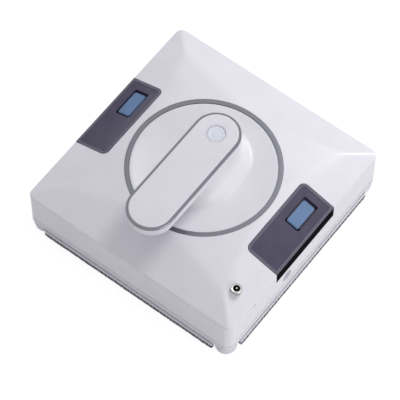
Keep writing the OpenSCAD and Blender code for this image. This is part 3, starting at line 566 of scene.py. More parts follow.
# Axles, shafts and springs: ground steel, bright, with fine even marks
GROUND_STEEL = WorkedMetal("ground_steel_shaft", "#B9BBBD", 0.2, 1.5, "#9EA0A3", 0.3, 0.002)
# Pinions: cut brass, warm, with fine tool marks
CUT_BRASS = WorkedMetal("cut_brass_gear", "#C9A45B", 0.28, 1.5, "#A98543", 0.4, 0.004)
# Tracks, seals and gasket: black rubber, dull under a haze of dust
TRACK_RUBBER = MouldedRubber("pressed_track_rubber", "#222224", 0.72, 1.5, "#35353A")
SEAL_RUBBER = MouldedRubber("pressed_seal_rubber", "#2B2B2E", 0.6, 1.5, "#343438")
# Cloth: dark grey loop pile with pale tips in slanting rows, which break its edge up
GREY_LOOPS = LoopPile("looped_grey_microfibre", "#303035", 0.9, 1.45, "#A2A2A9")


def deselect() -> None:
    """Deselects every object, so that an operator acts on one piece alone."""
    for thing in list(bpy.context.selected_objects):
        thing.select_set(False)


def activate(piece: Piece) -> None:
    """Makes one piece the only selected and the active one.

    Args:
        piece: The piece.
    """
    deselect()
    piece.select_set(True)
    bpy.context.view_layer.objects.active = piece


def open_edit(piece: Piece) -> None:
    """Opens a piece for editing, with all of it selected.

    Args:
        piece: The piece.
    """
    activate(piece)
    bpy.ops.object.mode_set(mode="EDIT")
    bpy.ops.mesh.select_all(action="SELECT")


def close_edit() -> None:
    """Leaves edit mode."""
    bpy.ops.object.mode_set(mode="OBJECT")


def tidy_shell(piece: Piece) -> Piece:
    """Merges a closed shell's doubles and turns its faces outwards.

    Args:
        piece: The piece.

    Returns:
        The piece.
    """
    open_edit(piece)
    bpy.ops.mesh.remove_doubles(threshold=MERGE)
    bpy.ops.mesh.dissolve_degenerate(threshold=MERGE)
    bpy.ops.mesh.delete_loose()
    bpy.ops.mesh.select_all(action="SELECT")
    bpy.ops.mesh.normals_make_consistent(inside=False)
    close_edit()
    return piece


def shaped_grid(name: str, points: np.ndarray) -> Piece:
    """Adds a grid and moves its points onto a form whose seams are then merged.

    Args:
        name: The piece's name.
        points: Places in millimetres, by row, column and axis. A closed form repeats its first.

    Returns:
        The piece.
    """
    rows, columns = points.shape[0] - 1, points.shape[1] - 1
    deselect()
    bpy.ops.mesh.primitive_grid_add(x_subdivisions=columns, y_subdivisions=rows, size=1)
    piece = bpy.context.object
    piece.name = name
    for vertex in piece.data.vertices:
        column = round((vertex.co.x + 0.5) * columns)
        row = round((vertex.co.y + 0.5) * rows)
        vertex.co = Vector(points[row][column]) * MM
    return tidy_shell(piece)


def lathe(
    name: str,
    outline: Sequence[Pair],
    centre: Spot,
    steps: int = 96,
    turned: Matrix | None = None,
) -> Piece:
    """Spins a closed outline about an upright axis.

    Args:
        name: The piece's name.
        outline: Radius and height of each point, in order.
        centre: Where the axis and the height 0 are.
        steps: How many steps the spin takes.
        turned: A turn about the centre, for an axis that isn't upright.

    Returns:
        The piece.
    """
    deselect()
    bpy.ops.mesh.primitive_circle_add(vertices=len(outline), radius=MM)
    piece = bpy.context.object
    piece.name = name
    for vertex, (radius, height) in zip(piece.data.vertices, outline):
        vertex.co = Vector((radius, 0, height)) * MM
    open_edit(piece)
    bpy.ops.mesh.spin(steps=steps, angle=2 * math.pi, center=(0, 0, 0), axis=(0, 0, 1))
    close_edit()
    tidy_shell(piece)
    piece.data.transform(Matrix.Translation(Vector(centre) * MM) @ (turned or Matrix.Identity(4)))
    return smooth(piece)


def block(name: str, low: Spot, high: Spot) -> Piece:
    """Adds a block at its size and place.

    Args:
        name: The piece's name.
        low: Its lowest corner.
        high: Its highest corner.

    Returns:
        The block.
    """
    deselect()
    a, b = Vector(low) * MM, Vector(high) * MM
    bpy.ops.mesh.primitive_cube_add(size=1, location=(a + b) / 2, scale=b - a)
    bpy.ops.object.transform_apply(location=True, rotation=True, scale=True)
    bpy.context.object.name = name
    return bpy.context.object


def rod(radius: float, start: Spot, end: Spot, vertices: int = 64) -> Piece:
    """Adds a round rod, as a drill.

    Args:
        radius: Its radius.
        start: The middle of one end.
        end: The middle of the other end.
        vertices: How many sides it has.

    Returns:
        The rod.
    """
    deselect()
    a, b = Vector(start) * MM, Vector(end) * MM
    bpy.ops.mesh.primitive_cylinder_add(vertices=vertices, radius=radius * MM, depth=(b - a).length)
    piece = bpy.context.object
    turn = (b - a).to_track_quat("Z", "Y").to_matrix().to_4x4()
    piece.data.transform(Matrix.Translation((a + b) / 2) @ turn)
    return piece


def pick(piece: Piece, what: Pick, test: Test) -> None:
    """Opens a piece for editing, with the faces or edges selected that pass a test.

    Args:
        piece: The piece.
        what: Edges or faces.
        test: Gets the middle in millimetres, and the normal or the edge's direction.
    """
    activate(piece)
    bpy.ops.object.mode_set(mode="EDIT")
    bpy.ops.mesh.select_mode(type=what.value)
    bpy.ops.mesh.select_all(action="DESELECT")
    close_edit()
    mesh = piece.data
    if what is Pick.FACES:
        for face in mesh.polygons:
            face.select = test(face.center / MM, face.normal)
    else:
        for edge in mesh.edges:
            a, b = (mesh.vertices[i].co for i in edge.vertices)
            edge.select = test((a + b) / 2 / MM, (b - a).normalized())
    bpy.ops.object.mode_set(mode="EDIT")


def round_edges(piece: Piece, width: float, segments: int, test: Test) -> None:
    """Rounds the edges that pass a test.

    Args:
        piece: The piece.
        width: Width of the rounding.
        segments: How many faces round it.
        test: Says which edges; see pick.
    """
    pick(piece, Pick.EDGES, test)
    bpy.ops.mesh.bevel(offset=width * MM, segments=segments, affect="EDGES")
    close_edit()


def cut_at_roof(piece: Piece, drop: float, slope: float, upper: bool = True) -> None:
    """Cuts off what stands over or under the right-hand roof plane.

    Args:
        piece: The piece.
        drop: How far under the roof the cut lies.
        slope: The roof's climb.
        upper: Whether the part over the plane goes, and not the part under it.
    """
    pick(piece, Pick.FACES, lambda m, d: True)
    bpy.ops.mesh.bisect(
        plane_co=(WALL_X * MM, 0, (ROOF_EDGE_Z - drop) * MM),
        plane_no=(slope, 0, 1),
        use_fill=True,
        clear_outer=upper,
        clear_inner=not upper,
    )
    close_edit()


def tank_block(name: str, gap: float, low: float, out_x: float) -> Piece:
    """Makes a block on the right-hand tank's plan, with its inner upright edges rounded.

    Args:
        name: The block's name.
        gap: How far its sides lie outside the tank's.
        low: The height of its underside.
        out_x: Where its outer face is.

    Returns:
        The block.
    """
    in_x, half_l = TANK_IN_X - gap, TANK_HALF_L + gap
    piece = block(name, (in_x, -half_l, low), (out_x, half_l, TANK_OVER_Z))
    round_edges(piece, TANK_CORNER + gap, 12, lambda m, d: abs(d.z) > 0.9 and m.x < in_x + 1)
    return piece


def modify(piece: Piece, kind: str, **settings: object) -> Piece:
    """Gives a piece a modifier and applies it.

    Args:
        piece: The piece.
        kind: The modifier's type.
        settings: The modifier's own attributes.

    Returns:
        The piece.
    """
    modifier = piece.modifiers.new(kind.lower(), kind)
    for name, value in settings.items():
        setattr(modifier, name, value)
    activate(piece)
    bpy.ops.object.modifier_apply(modifier=modifier.name)
    return piece


def combine(piece: Piece, tool: Piece, how: Join = Join.CUT) -> None:
    """Cuts a tool out of a piece, or adds it, and removes the tool.

    Args:
        piece: The piece.
        tool: The tool.
        how: How the two meet.
    """
    modify(piece, "BOOLEAN", operation=how.value, solver="EXACT", object=tool)
    bpy.data.objects.remove(tool)


def join(piece: Piece, others: Sequence[Piece]) -> Piece:
    """Joins other objects to a piece.

    Args:
        piece: The piece.
        others: The others.

    Returns:
        The piece.
    """
    activate(piece)
    for other in others:
        other.select_set(True)
    bpy.ops.object.join()
    return piece


def smooth(piece: Piece, angle: float = 32.0) -> Piece:
    """Shades a piece smooth, but for its sharp edges.

    Args:
        piece: The piece.
        angle: The least angle of a sharp edge, in degrees.

    Returns:
        The piece.
    """
    activate(piece)
    bpy.ops.object.shade_smooth_by_angle(angle=math.radians(angle))
    return piece


def ease(piece: Piece, width: float, segments: int = 2, angle: float = 38.0) -> Piece:
    """Breaks a piece's sharp edges, and evens the shading of its flats.

    Args:
        piece: The piece.
        width: Width of the broken edge.
        segments: How many faces round it.
        angle: The least angle of an edge that is broken.

    Returns:
        The piece.
    """
    modify(
        piece,
        "BEVEL",
        width=width * MM,
        segments=segments,
        limit_method="ANGLE",
        angle_limit=math.radians(angle),
        miter_outer="MITER_ARC",
    )
    smooth(piece, 40.0)
    return modify(piece, "WEIGHTED_NORMAL", keep_sharp=True)


def merged_copy(node: str, name: str) -> Piece:
    """Copies a CAD node's mesh and merges its loose triangles into flats.

    Args:
        node: The CAD node.
        name: The copy's name.

    Returns:
        The copy.
    """
    piece = bpy.data.objects.new(name, frame["nodes"][node].data.copy())
    piece.data.materials.clear()
    bpy.context.scene.collection.objects.link(piece)
    open_edit(piece)
    bpy.ops.mesh.remove_doubles(threshold=MERGE)
    bpy.ops.mesh.dissolve_limited(angle_limit=math.radians(0.6))
    close_edit()
    return piece


def moved_copy(piece: Piece, name: str, move: Matrix) -> Piece:
    """Copies a piece, with a mesh of its own that is moved.

    Args:
        piece: The piece.
        name: The copy's name.
        move: The move.

    Returns:
        The copy.
    """
    copy = piece.copy()
    copy.data = piece.data.copy()
    copy.name = name
    copy.data.transform(move)
    bpy.context.scene.collection.objects.link(copy)
    return copy


def mirrored(piece: Piece, name: str) -> Piece:
    """Copies a right-hand piece to the left, with its faces outwards.

    Args:
        piece: The right-hand piece.
        name: The copy's name.

    Returns:
        The left-hand piece.
    """
    copy = moved_copy(piece, name, Matrix.Diagonal((-1, 1, 1, 1)))
    copy.data.flip_normals()
    return copy


def dressed(piece: Piece, finish: Finish, node: str, body: str = "chassis") -> Piece:
    """Gives a new piece its finish and its body, and hides the CAD node that it stands for.

    Args:
        piece: The piece.
        finish: Its finish, where it has none yet.
        node: The CAD node that it stands for.
        body: The body that it rides on.

    Returns:
        The piece.
    """
    if not piece.data.materials:
        piece.data.materials.append(finish.build())
    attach(piece, body)
    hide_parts(node)
    LOG.info("%s: %d faces on %s", piece.name, len(piece.data.polygons), body)
    return piece


def eased_part(
    node: str,
    name: str,
    width: float,
    finish: Finish,
    slot: str,
    body: str = "chassis",
    segments: int = 2,
) -> None:
    """Puts a copy of a CAD node with eased edges in the node's place; see ease and dressed."""
    dressed(ease(merged_copy(node, name), width, segments), finish, node, body)


def painted(node: str, finish: Finish) -> None:
    """Gives a CAD node that stays in view its finish.

    Args:
        node: The CAD node.
        finish: Its finish.
    """
    piece = frame["nodes"][node]
    made = finish.build()
    if not piece.material_slots:
        piece.data.materials.append(made)
    for place in piece.material_slots:
        place.material = made
    LOG.info("%s: the solid with %s", node, finish.name)


def arc(centre: Pair, radius: float, start: float, end: float, steps: int = 4) -> list[Pair]:
    """Returns points on an arc, as radius and height, from one angle in degrees to another."""
    angles = [math.radians(start + (end - start) * i / steps) for i in range(steps + 1)]
    return [(centre[0] + radius * math.cos(a), centre[1] + radius * math.sin(a)) for a in angles]


def stadium_columns(
    y0: float, y1: float, round_steps: int, side_steps: int
) -> tuple[np.ndarray, np.ndarray]:
    """Finds the columns of a form that runs round a stadium.

    Args:
        y0: The front end's centre.
        y1: The rear end's centre.
        round_steps: Steps round each end.
        side_steps: Steps along each side.

    Returns:
        The points on the stadium's middle line, and the outward directions there.
    """
    middles, ways = [], []
    for here, there, start, way in ((y1, y0, 0.0, -1.0), (y0, y1, math.pi, 1.0)):
        for i in range(round_steps):
            a = start + math.pi * i / round_steps
            middles.append((0.0, here))
            ways.append((math.cos(a), math.sin(a)))
        for i in range(side_steps):
            middles.append((0.0, here + (there - here) * i / side_steps))
            ways.append((way, 0.0))
    return np.array([*middles, middles[0]]), np.array([*ways, ways[0]])


def stadium_loft(name: str, y0: float, y1: float, outline: Sequence[Pair]) -> Piece:
    """Runs an outline round a stadium.

    Args:
        name: The piece's name.
        y0: The front end's centre.
        y1: The rear end's centre.
        outline: Distance from the stadium's middle line and height of each point.

    Returns:
        The piece.
    """
    middles, ways = stadium_columns(y0, y1, 40, 12)
    rows = [np.column_stack([middles + ways * out, np.full(len(middles), z)]) for out, z in outline]
    return smooth(shaped_grid(name, np.array(rows)))


def coil(name: str, place: Pair, radius: float, wire: float, ends: Pair, turns: float) -> Piece:
    """Winds an upright spring from round wire.

    Args:
        name: The piece's name.
        place: Its axis.
        radius: Radius of the wire's middle line.
        wire: Radius of the wire.
        ends: Heights of the spring's lower and upper end.
        turns: How many turns it has.

    Returns:
        The spring.
    """
    low, high = ends
    steps, sides = int(turns * 28), 10
    rows = []
    for i in range(steps + 1):
        a = 2 * math.pi * turns * i / steps
        z = low + wire + (high - low - 2 * wire) * i / steps
        out = np.array([math.cos(a), math.sin(a), 0.0])
        middle = np.array([place[0], place[1], z]) + out * radius
        thick = wire if 0 < i < steps else 0.0
        angles = np.linspace(0, 2 * math.pi, sides + 1)
        round_wire = [out * math.cos(b) + np.array([0, 0, math.sin(b)]) for b in angles]
        rows.append([middle + thick * way for way in round_wire])
    return smooth(shaped_grid(name, np.array(rows)), 60.0)


def soft_least(a: np.ndarray, b: np.ndarray, round_off: np.ndarray | float) -> np.ndarray:
    """Returns the lesser of two heights, with the crease between them rounded off."""
    near = np.clip(round_off - np.abs(a - b), 0, None) / round_off
    return np.minimum(a, b) - near * near * round_off / 4


@dataclass
class Housing:
    """The white cover and the tray under it, with the dish's seat in the roof.

    Attributes:
        jack: The power jack's place.
        half: Half of the square's side.
        corner: Radius of the upright corners.
        wall: Wall of the mouldings.
        seam_z: Height of the seam.
        ring_z: Height of the silver ring's seat edge.
        seat_z: Height of the ring's seat.
        seat_gap: Gap between the ring and its seat's wall.
        fall: Fall of the crown in degrees.
        fillet: Reach of the rounded roof edge.
        cut: Where a cut through a side wall starts and ends.
        window: The window slot's half width, its middle behind the jack, its low and high edge.
        vent: The rear slots' ends along X, their height, and the first one's rise over the seam.
        vent_pitch: Distance between two rear slots.
        boss_r: Radius of a screw boss and of its bore.
        boss_z: Height of a boss's foot and of its bore's end.
        liner: Lowest and highest corner of the block that a tank's pocket is cut into.
        pocket_gap: Gap between a tank and its pocket's sides.
        pocket_z: Height of the pocket's floor.
        nozzle_r: Radius of the nozzle's hole.
        drain: The outlet's radius, its place along X, and its lower and upper end.
        jack_r: Radius of the jack's hole.
        screw_c: A cover screw's distances from the housing's middle lines.
    """

    jack: Pair
    half: float = WALL_X
    corner: float = 8.0
    wall: float = 2.4
    seam_z: float = 18.6
    ring_z: float = 71.2
    seat_z: float = 70.2
    seat_gap: float = 0.15
    fall: float = 6.0
    fillet: float = 1.3
    cut: Pair = (116.6, 121.0)
    window: Sizes = (2.15, 3.1, 48.7, 49.9)
    vent: Sizes = (23.4, 42.6, 1.6, 3.6)
    vent_pitch: float = 2.8
    boss_r: Pair = (4.7, 1.55)
    boss_z: Pair = (18.0, 29.2)
    liner: tuple[Spot, Spot] = ((81.2, -47.6, 39.9), (118.8, 47.6, TANK_OVER_Z))
    pocket_gap: float = 0.3
    pocket_z: float = 41.7
    nozzle_r: float = 6.3
    drain: Sizes = (4.0, 110.1, 38.9, 42.7)
    jack_r: float = 4.95
    screw_c: Pair = (106.0, 62.0)

    @property
    def slope(self) -> float:
        """Returns the climb of a roof plane."""
        return (self.ring_z - ROOF_EDGE_Z) / (self.half - RING_R)

    def roof(self, x: np.ndarray | float, y: np.ndarray | float) -> np.ndarray:
        """Finds the roof's height.

        Args:
            x: Places along X.
            y: Places along Y.

        Returns:
            The heights there.
        """
        along_x, along_y = (ROOF_EDGE_Z + (self.half - np.abs(v)) * self.slope for v in (x, y))
        reach = np.hypot(x, y)
        crown = self.ring_z - (reach - RING_R) * math.tan(math.radians(self.fall))
        planes = soft_least(along_x, along_y, 1.0)
        softness = 0.05 + 1.1 * np.clip((reach - RING_R) / 14, 0, 1)
        return soft_least(planes, np.minimum(crown, self.ring_z), softness)

    def outline(self, inset: float) -> np.ndarray:
        """Finds points round the rounded square.

        Args:
            inset: How far inside the housing's side they lie.

        Returns:
            The points, with the first one repeated at the end.
        """
        half, corner = self.half - inset, self.corner - inset
        steps = np.linspace(-1, 1, 45)[:-1]
        along = (half - corner) * (0.3 * steps + 0.7 * np.sin(steps * math.pi / 2))
        side = np.column_stack([np.full(len(along), half), along])
        angles = np.linspace(0, math.pi / 2, 13)[:-1]
        bend = (half - corner) + corner * np.column_stack([np.cos(angles), np.sin(angles)])
        quarter = np.vstack([side, bend])
        turns = [
            quarter @ np.array([[math.cos(a), math.sin(a)], [-math.sin(a), math.cos(a)]])
            for a in (0, math.pi / 2, math.pi, 3 * math.pi / 2)
        ]
        loop = np.vstack(turns)
        return np.vstack([loop, loop[:1]])

    def level(self, inset: float, z: float | np.ndarray) -> np.ndarray:
        """Returns a row of the cover's form at one inset and height."""
        plan = self.outline(inset)
        return np.column_stack([plan, np.broadcast_to(z, len(plan))])

    def under_roof(self, plan: np.ndarray, drop: float) -> np.ndarray:
        """Returns a row of the cover's form at a depth under the roof."""
        return np.column_stack([plan, self.roof(*plan.T) - drop])

    def shell(self) -> Piece:
        """Models the bare cover.

        Returns:
            A closed shell with its roof, wall and inner skin.
        """
        rim = self.outline(3.0)
        way = rim / np.linalg.norm(rim, axis=1)[:, None]
        eave = self.roof(*self.outline(0.0).T)
        start = self.roof(*self.outline(self.fillet).T)
        foot = ((self.wall, 0.0), (0.3, 0.0), (0.09, 0.09), (0.0, 0.3))
        rows = [self.level(inset, self.seam_z + rise) for inset, rise in foot]
        rows += [self.level(0.0, z) for z in (24.0, 32.0, 40.0, 48.0)]
        for s in (0.0, 0.2, 0.4, 0.6, 0.8, 1.0):
            z = (1 - s) ** 2 * (eave - self.fillet) + 2 * s * (1 - s) * eave + s * s * start
            rows.append(self.level(self.fillet * s * s, z))
        seat_r = RING_R + self.seat_gap
        for t in np.linspace(0, 1, 19):
            rows.append(self.under_roof(rim + (way * seat_r - rim) * t, 0.0))
        for radius, z in ((seat_r, self.seat_z), (DISH_R, self.seat_z), (DISH_R, DISH_SEAT_Z)):
            rows.append(np.column_stack([way * radius, np.full(len(way), z)]))
        skin = self.outline(self.wall)
        for t in np.linspace(0.12, 1, 8):
            rows.append(self.under_roof(way * DISH_R + (skin - way * DISH_R) * t, self.wall))
        rows.append(rows[0])
        return shaped_grid("housing_cover", np.array(rows))

    def cover(self) -> Piece:
        """Models the whole cover.

        Returns:
            The cover with its tank pockets, its holes and its screw bosses.
        """
        piece = self.shell()
        for side in Side:
            liner = block("liner", *self.liner)
            cut_at_roof(liner, 1.0, self.slope)
            hollow = tank_block("pocket", self.pocket_gap, self.pocket_z, 122.0)
            for tool, how in ((liner, Join.ADD), (hollow, Join.CUT)):
                if side is Side.LEFT:
                    other = mirrored(tool, "other")
                    bpy.data.objects.remove(tool)
                    tool = other
                combine(piece, tool, how)
            s = side.value
            ends = ((s * 116, NOZZLE_Y, NOZZLE_Z), (s * 122, NOZZLE_Y, NOZZLE_Z))
            combine(piece, rod(self.nozzle_r, *ends))
            radius, x, low, high = self.drain
            combine(piece, rod(radius, (s * x, NOZZLE_Y, low), (s * x, NOZZLE_Y, high)))
        combine(piece, rod(self.jack_r, (*self.jack, 40.0), (*self.jack, 80.0)))
        (half_w, behind, low, high), (inside, outside) = self.window, self.cut
        front, rear = (self.jack[1] + behind + way for way in (-half_w, half_w))
        combine(piece, block("slot", (inside, front, low), (outside, rear, high)))
        left, right, height, rise = self.vent
        for i in range(4):
            low = self.seam_z + rise + self.vent_pitch * i
            combine(piece, block("slot", (left, inside, low), (right, outside, low + height)))
        join(piece, [self.boss(x, y) for x, y in self.screw_places()])
        return smooth(piece, 33.0)

    def screw_places(self) -> list[Pair]:
        """Finds where the eight cover screws are.

        Returns:
            Their places from above.
        """
        far, near = self.screw_c
        pairs = [(x, y) for x in (-far, far) for y in (-near, near)]
        return pairs + [(y, x) for x, y in pairs]

    def boss(self, x: float, y: float) -> Piece:
        """Makes a screw boss that hangs under the roof.

        Args:
            x: Its place along X.
            y: Its place along Y.

        Returns:
            The boss.
        """
        (out, bore), (low, end) = self.boss_r, self.boss_z
        high = float(self.roof(x, y)) - self.wall / 2
        outline = [(bore, low), (out, low), (out, high), (0, high), (0, end), (bore, end)]
        return lathe("boss", outline, (x, y, 0), 32)

    def build(self) -> None:
        """Builds and dresses the cover, the tray and their screws."""
        dressed(self.cover(), WHITE_SHELL, "top_cover")
        eased_part("base_tray", "housing_tray", 0.4, WHITE_MATT, "white_shell")
        dressed(self.screws(), ZINC_STEEL, "cover_screws")

    def screws(self) -> Piece:
        """Models the eight cover screws, each head with a cross recess.

        Returns:
            The screws as one piece.
        """
        head = [(0, 10.5), (0.9, 10.25), *arc((2.2, 10.8), 0.6, -80, 0), (2.8, 12.2), (1.5, 12.2)]
        first = lathe("cover_screws", [*head, (1.5, 27.6), (0.9, 28.2), (0, 28.2)], (0, 0, 0), 32)
        for x, y in ((1.5, 0.28), (0.28, 1.5)):
            combine(first, block("recess", (-x, -y, 9.8), (x, y, 11.4)))
        copies = [
            moved_copy(first, "screw", Matrix.Translation(Vector((x, y, 0)) * MM))
            for x, y in self.screw_places()
        ]
        bpy.data.objects.remove(first)
        piece = join(copies[0], copies[1:])
        piece.name = "cover_screw_set"
        return smooth(piece)


@dataclass
class Handle:
    """The dish with its pillar, the handle over it, its trims and the power button.

    Attributes:
        radius: Radius of the handle's round ends.
        front_y: Centre of the handle's free round end.
        rear_y: Centre of the end over the pillar, where the button is.
        pillar_y: Centre of the pillar's front end.
        low_z: Underside of the handle.
        split_z: Where the handle's halves meet.
        top_z: Top of the handle.
        seat_z: Height of the trim's seat.
        trim_w: Width of the silver trim.
        flare: Radius of the pillar's flare.
        flare_end: Where the flare meets the bowl, in degrees.
        sink: How far the flare's foot lies under the bowl's lowest point.
        blend: Height over which the flare runs into the bowl.
        bowl_r: Radius of the bowl's sphere.
        bowl_z: Height of the bowl's lowest point.
        lip_z: Height of the bowl's lip.
        flange_z: Underside of the bowl's flange.
        rim_r: Outer radius of the bowl.
        neck_r: Radius of the hollow in the pillar.
        neck_z: Height of the pillar's top, inside the handle.
        lip_r: Radius at which the bowl's lip starts.
        flange_r: Outer radius of the flange under the roof.
        skirt_r: Inner radius of the flange.
        wall: Wall of the mouldings.
        hollow_r: How far out the hollow under the dish starts to rise into the pillar.
        hollow_z: Height where it does.
        bezel_r: Radius of the hole for the button's bezel.
    """

    radius: float = 23.9
    front_y: float = -80.5
    rear_y: float = 19.2
    pillar_y: float = -12.0
    low_z: float = 95.0
    split_z: float = 101.0
    top_z: float = 107.0
    seat_z: float = 104.4
    trim_w: float = 2.6
    flare: float = 24.0
    flare_end: float = 62.0
    sink: float = 1.2
    blend: float = 1.6
    bowl_r: float = 319.06
    bowl_z: float = 63.2
    lip_z: float = 70.7
    flange_z: float = 66.4
    rim_r: float = 70.85
    neck_r: float = 19.1
    neck_z: float = 96.5
    lip_r: float = 68.9
    flange_r: float = 74.4
    skirt_r: float = 68.45
    wall: float = 2.4
    hollow_r: float = 40.0
    hollow_z: float = 62.0
    bezel_r: float = 10.25

    def bowl(self, reach: np.ndarray) -> np.ndarray:
        """Returns the bowl's height at a distance from the middle."""
        return self.bowl_z + self.bowl_r - np.sqrt(self.bowl_r**2 - reach**2)

    def surface(self, plan: np.ndarray, out: np.ndarray) -> np.ndarray:
        """Finds the height of the bowl with the pillar's flare.

        Args:
            plan: Places from above.
            out: Their distances from the pillar's middle line.

        Returns:
            The heights there.
        """
        inside = np.clip(self.radius + self.flare - out, 0, self.flare)
        rise = self.bowl_z - self.sink + self.flare - np.sqrt(self.flare**2 - inside**2)
        bowl = np.minimum(self.bowl(np.linalg.norm(plan, axis=1)), self.lip_z)
        return -soft_least(-rise, -bowl, self.blend)

    def edge_reach(self, middles: np.ndarray, ways: np.ndarray, radius: float) -> np.ndarray:
        """Returns how far each column runs before it meets a circle round the dish's middle."""
        along = np.sum(middles * ways, axis=1)
        return -along + np.sqrt(along**2 + radius**2 - np.sum(middles**2, axis=1))

    def dish(self) -> Piece:
        """Models the bowl and the pillar in one sweep.

        Returns:
            The two, with the hollow under them.
        """
        middles, ways = stadium_columns(self.pillar_y, self.rear_y, 48, 14)
        rows: list[np.ndarray] = []

        def add(out: np.ndarray | float, z: np.ndarray | float | None, drop: float = 0.0) -> None:
            """Adds a row to the form.

            Args:
                out: Its distance from the pillar's middle line.
                z: Its height, or None for the surface's.
                drop: How far under the surface it lies.
            """
            reach = np.broadcast_to(out, len(middles))
            plan = middles + ways * reach[:, None]
            level = self.surface(plan, reach) - drop if z is None else z
            height = np.broadcast_to(level, len(plan))
            rows.append(np.column_stack([plan, height]))

        for z in (self.neck_z, 92.0, 88.0):
            add(self.radius - 0.02, z)
        for degrees in (0, 7, 14, 21, 28, 35, 42, 49, 56, self.flare_end):
            a = math.radians(degrees)
            out = self.radius + self.flare * (1 - math.cos(a)) - 0.02 * (degrees == 0)
            z = self.bowl_z - self.sink + self.flare * (1 - math.sin(a))
            plan = middles + ways * out
            bowl = self.bowl(np.linalg.norm(plan, axis=1))
            add(out, -soft_least(np.full(len(plan), -z), -bowl, self.blend))
        last = self.radius + self.flare * (1 - math.cos(math.radians(self.flare_end)))
        lip, rim, flange, skirt = (
            self.edge_reach(middles, ways, radius)
            for radius in (self.lip_r, self.rim_r, self.flange_r, self.skirt_r)
        )
        for t in np.linspace(0, 1, 15)[1:]:
            add(last + (lip - last) * t, None)
        edge = ((rim - 0.2, self.lip_z), (rim, 70.5), (rim, DISH_SEAT_Z), (flange, DISH_SEAT_Z))
        for out, z in (*edge, (flange, self.flange_z), (skirt, self.flange_z)):
            add(out, z)
        for t in np.linspace(0.1, 1, 8):
            add(skirt + (self.hollow_r - skirt) * t, None, self.wall)
        add(self.neck_r, self.hollow_z)
        add(self.neck_r, self.neck_z)
        rows.append(rows[0])
        return smooth(shaped_grid("dish_and_pillar", np.array(rows)), 40.0)

    def lower_half(self) -> Piece:
        """Models the handle's lower half.

        Returns:
            A tray with a rounded lower edge.
        """
        r, low, split, wall = self.radius, self.low_z, self.split_z, self.wall
        outline = [(0, low), (r - 1.6, low), *arc((r - 1.6, low + 1.6), 1.6, -72, 0, 5)]
        outline += [(r, split - 0.3), (r - 0.25, split), (r - wall, split), (r - wall, low + wall)]
        return stadium_loft("handle_tray", self.front_y, self.rear_y, [*outline, (0, low + wall)])

    def upper_half(self) -> Piece:
        """Models the handle's cover.

        Returns:
            The cover with the hole for the button's bezel.
        """
        r, split, top, seat = self.radius, self.split_z, self.top_z, self.seat_z
        inner, core_r, core_z = r - self.trim_w, 18.9, 104.6
        outline = [(0, top), (inner - 4.0, top), (inner - 0.7, top - 0.02)]
        outline += [*arc((inner - 0.6, top - 0.62), 0.6, 80, 0, 4), (inner, seat), (r, seat)]
        outline += [(r, split + 0.3), (r - 0.25, split)]
        outline += [(core_r, split), (core_r, core_z), (0, core_z)]
        piece = stadium_loft("handle_cover_half", self.front_y, self.rear_y, outline)
        combine(piece, rod(self.bezel_r, (0, self.rear_y, 100), (0, self.rear_y, 110), 96))
        return ease(piece, 0.2, 2, 60.0)

    def trims(self) -> None:
        """Builds the silver trim of the handle and the silver ring of the dish."""
        r, low, high = self.radius, self.seat_z, 106.6
        inner = r - self.trim_w + 0.05
        outline = [(inner, low), (r - 0.15, low), (r, low + 0.15), (r, high - 1.05)]
        outline += [(r - 0.05, high - 0.9), (r - 0.85, high - 0.1), (r - 1.0, high), (inner, high)]
        trim = stadium_loft("handle_silver_trim", self.front_y, self.rear_y, [*outline, outline[0]])
        dressed(trim, SATIN_PLATE, "handle_trim")
        out, into = RING_R, DISH_R
        outline = [(into, 70.25), (out, 70.25), (out, 70.95), (out - 0.15, 71.12)]
        outline += [(into + 0.5, 71.38), (into + 0.15, 71.36), (into, 71.2)]
        ring = lathe("dish_silver_ring", outline, (0, 0, 0), 192)
        dressed(ring, SATIN_PLATE, "dish_trim_ring")

    def button(self) -> None:
        """Builds the frosted button, its bezel, the return spring and the switch board."""
        y, top, skirt_z, foot_z, stem_z = self.rear_y, self.top_z, 103.1, 101.9, 100.5
        cap = [(0, top - 0.62), (3.6, top - 0.6), (4.6, top - 0.66), (4.9, top - 0.78)]
        cap += [(5.2, top - 0.66), (6.4, top - 0.6), (7.6, top - 0.52)]
        cap += [*arc((8.1, top - 1.0), 0.5, 90, 0), (8.6, skirt_z), (9.9, skirt_z), (9.9, foot_z)]
        cap += [(2.4, foot_z), (2.4, stem_z), (0, stem_z)]
        piece = lathe("frosted_button", cap, (0, y, 0))
        dressed(piece, FROSTED_CAP, "power_button", "button")
        bezel = [(8.9, 103.4), (10.2, 103.4), (10.2, top - 0.25), (9.95, top), (9.15, top)]
        piece = lathe("button_ring", [*bezel, (8.9, top - 0.25)], (0, y, 0))
        dressed(piece, WHITE_SHELL, "button_bezel")
        spring = coil("button_return_spring", (0, y), 3.2, 0.4, (99.15, 101.8), 2.0)
        dressed(spring, GROUND_STEEL, "button_spring")
        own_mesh(spring)
        painted("button_board", CircuitBoard("button_circuit_board", "#1E5B3C", 0.35, 1.5, 99.0))

    def build(self) -> None:
        """Builds and dresses the dish, both halves of the handle, the trims and the button."""
        base = join(self.dish(), [self.lower_half()])
        dressed(base, WHITE_SHELL, "handle_base")
        dressed(self.upper_half(), WHITE_SHELL, "handle_cover")
        self.trims()
        self.button()


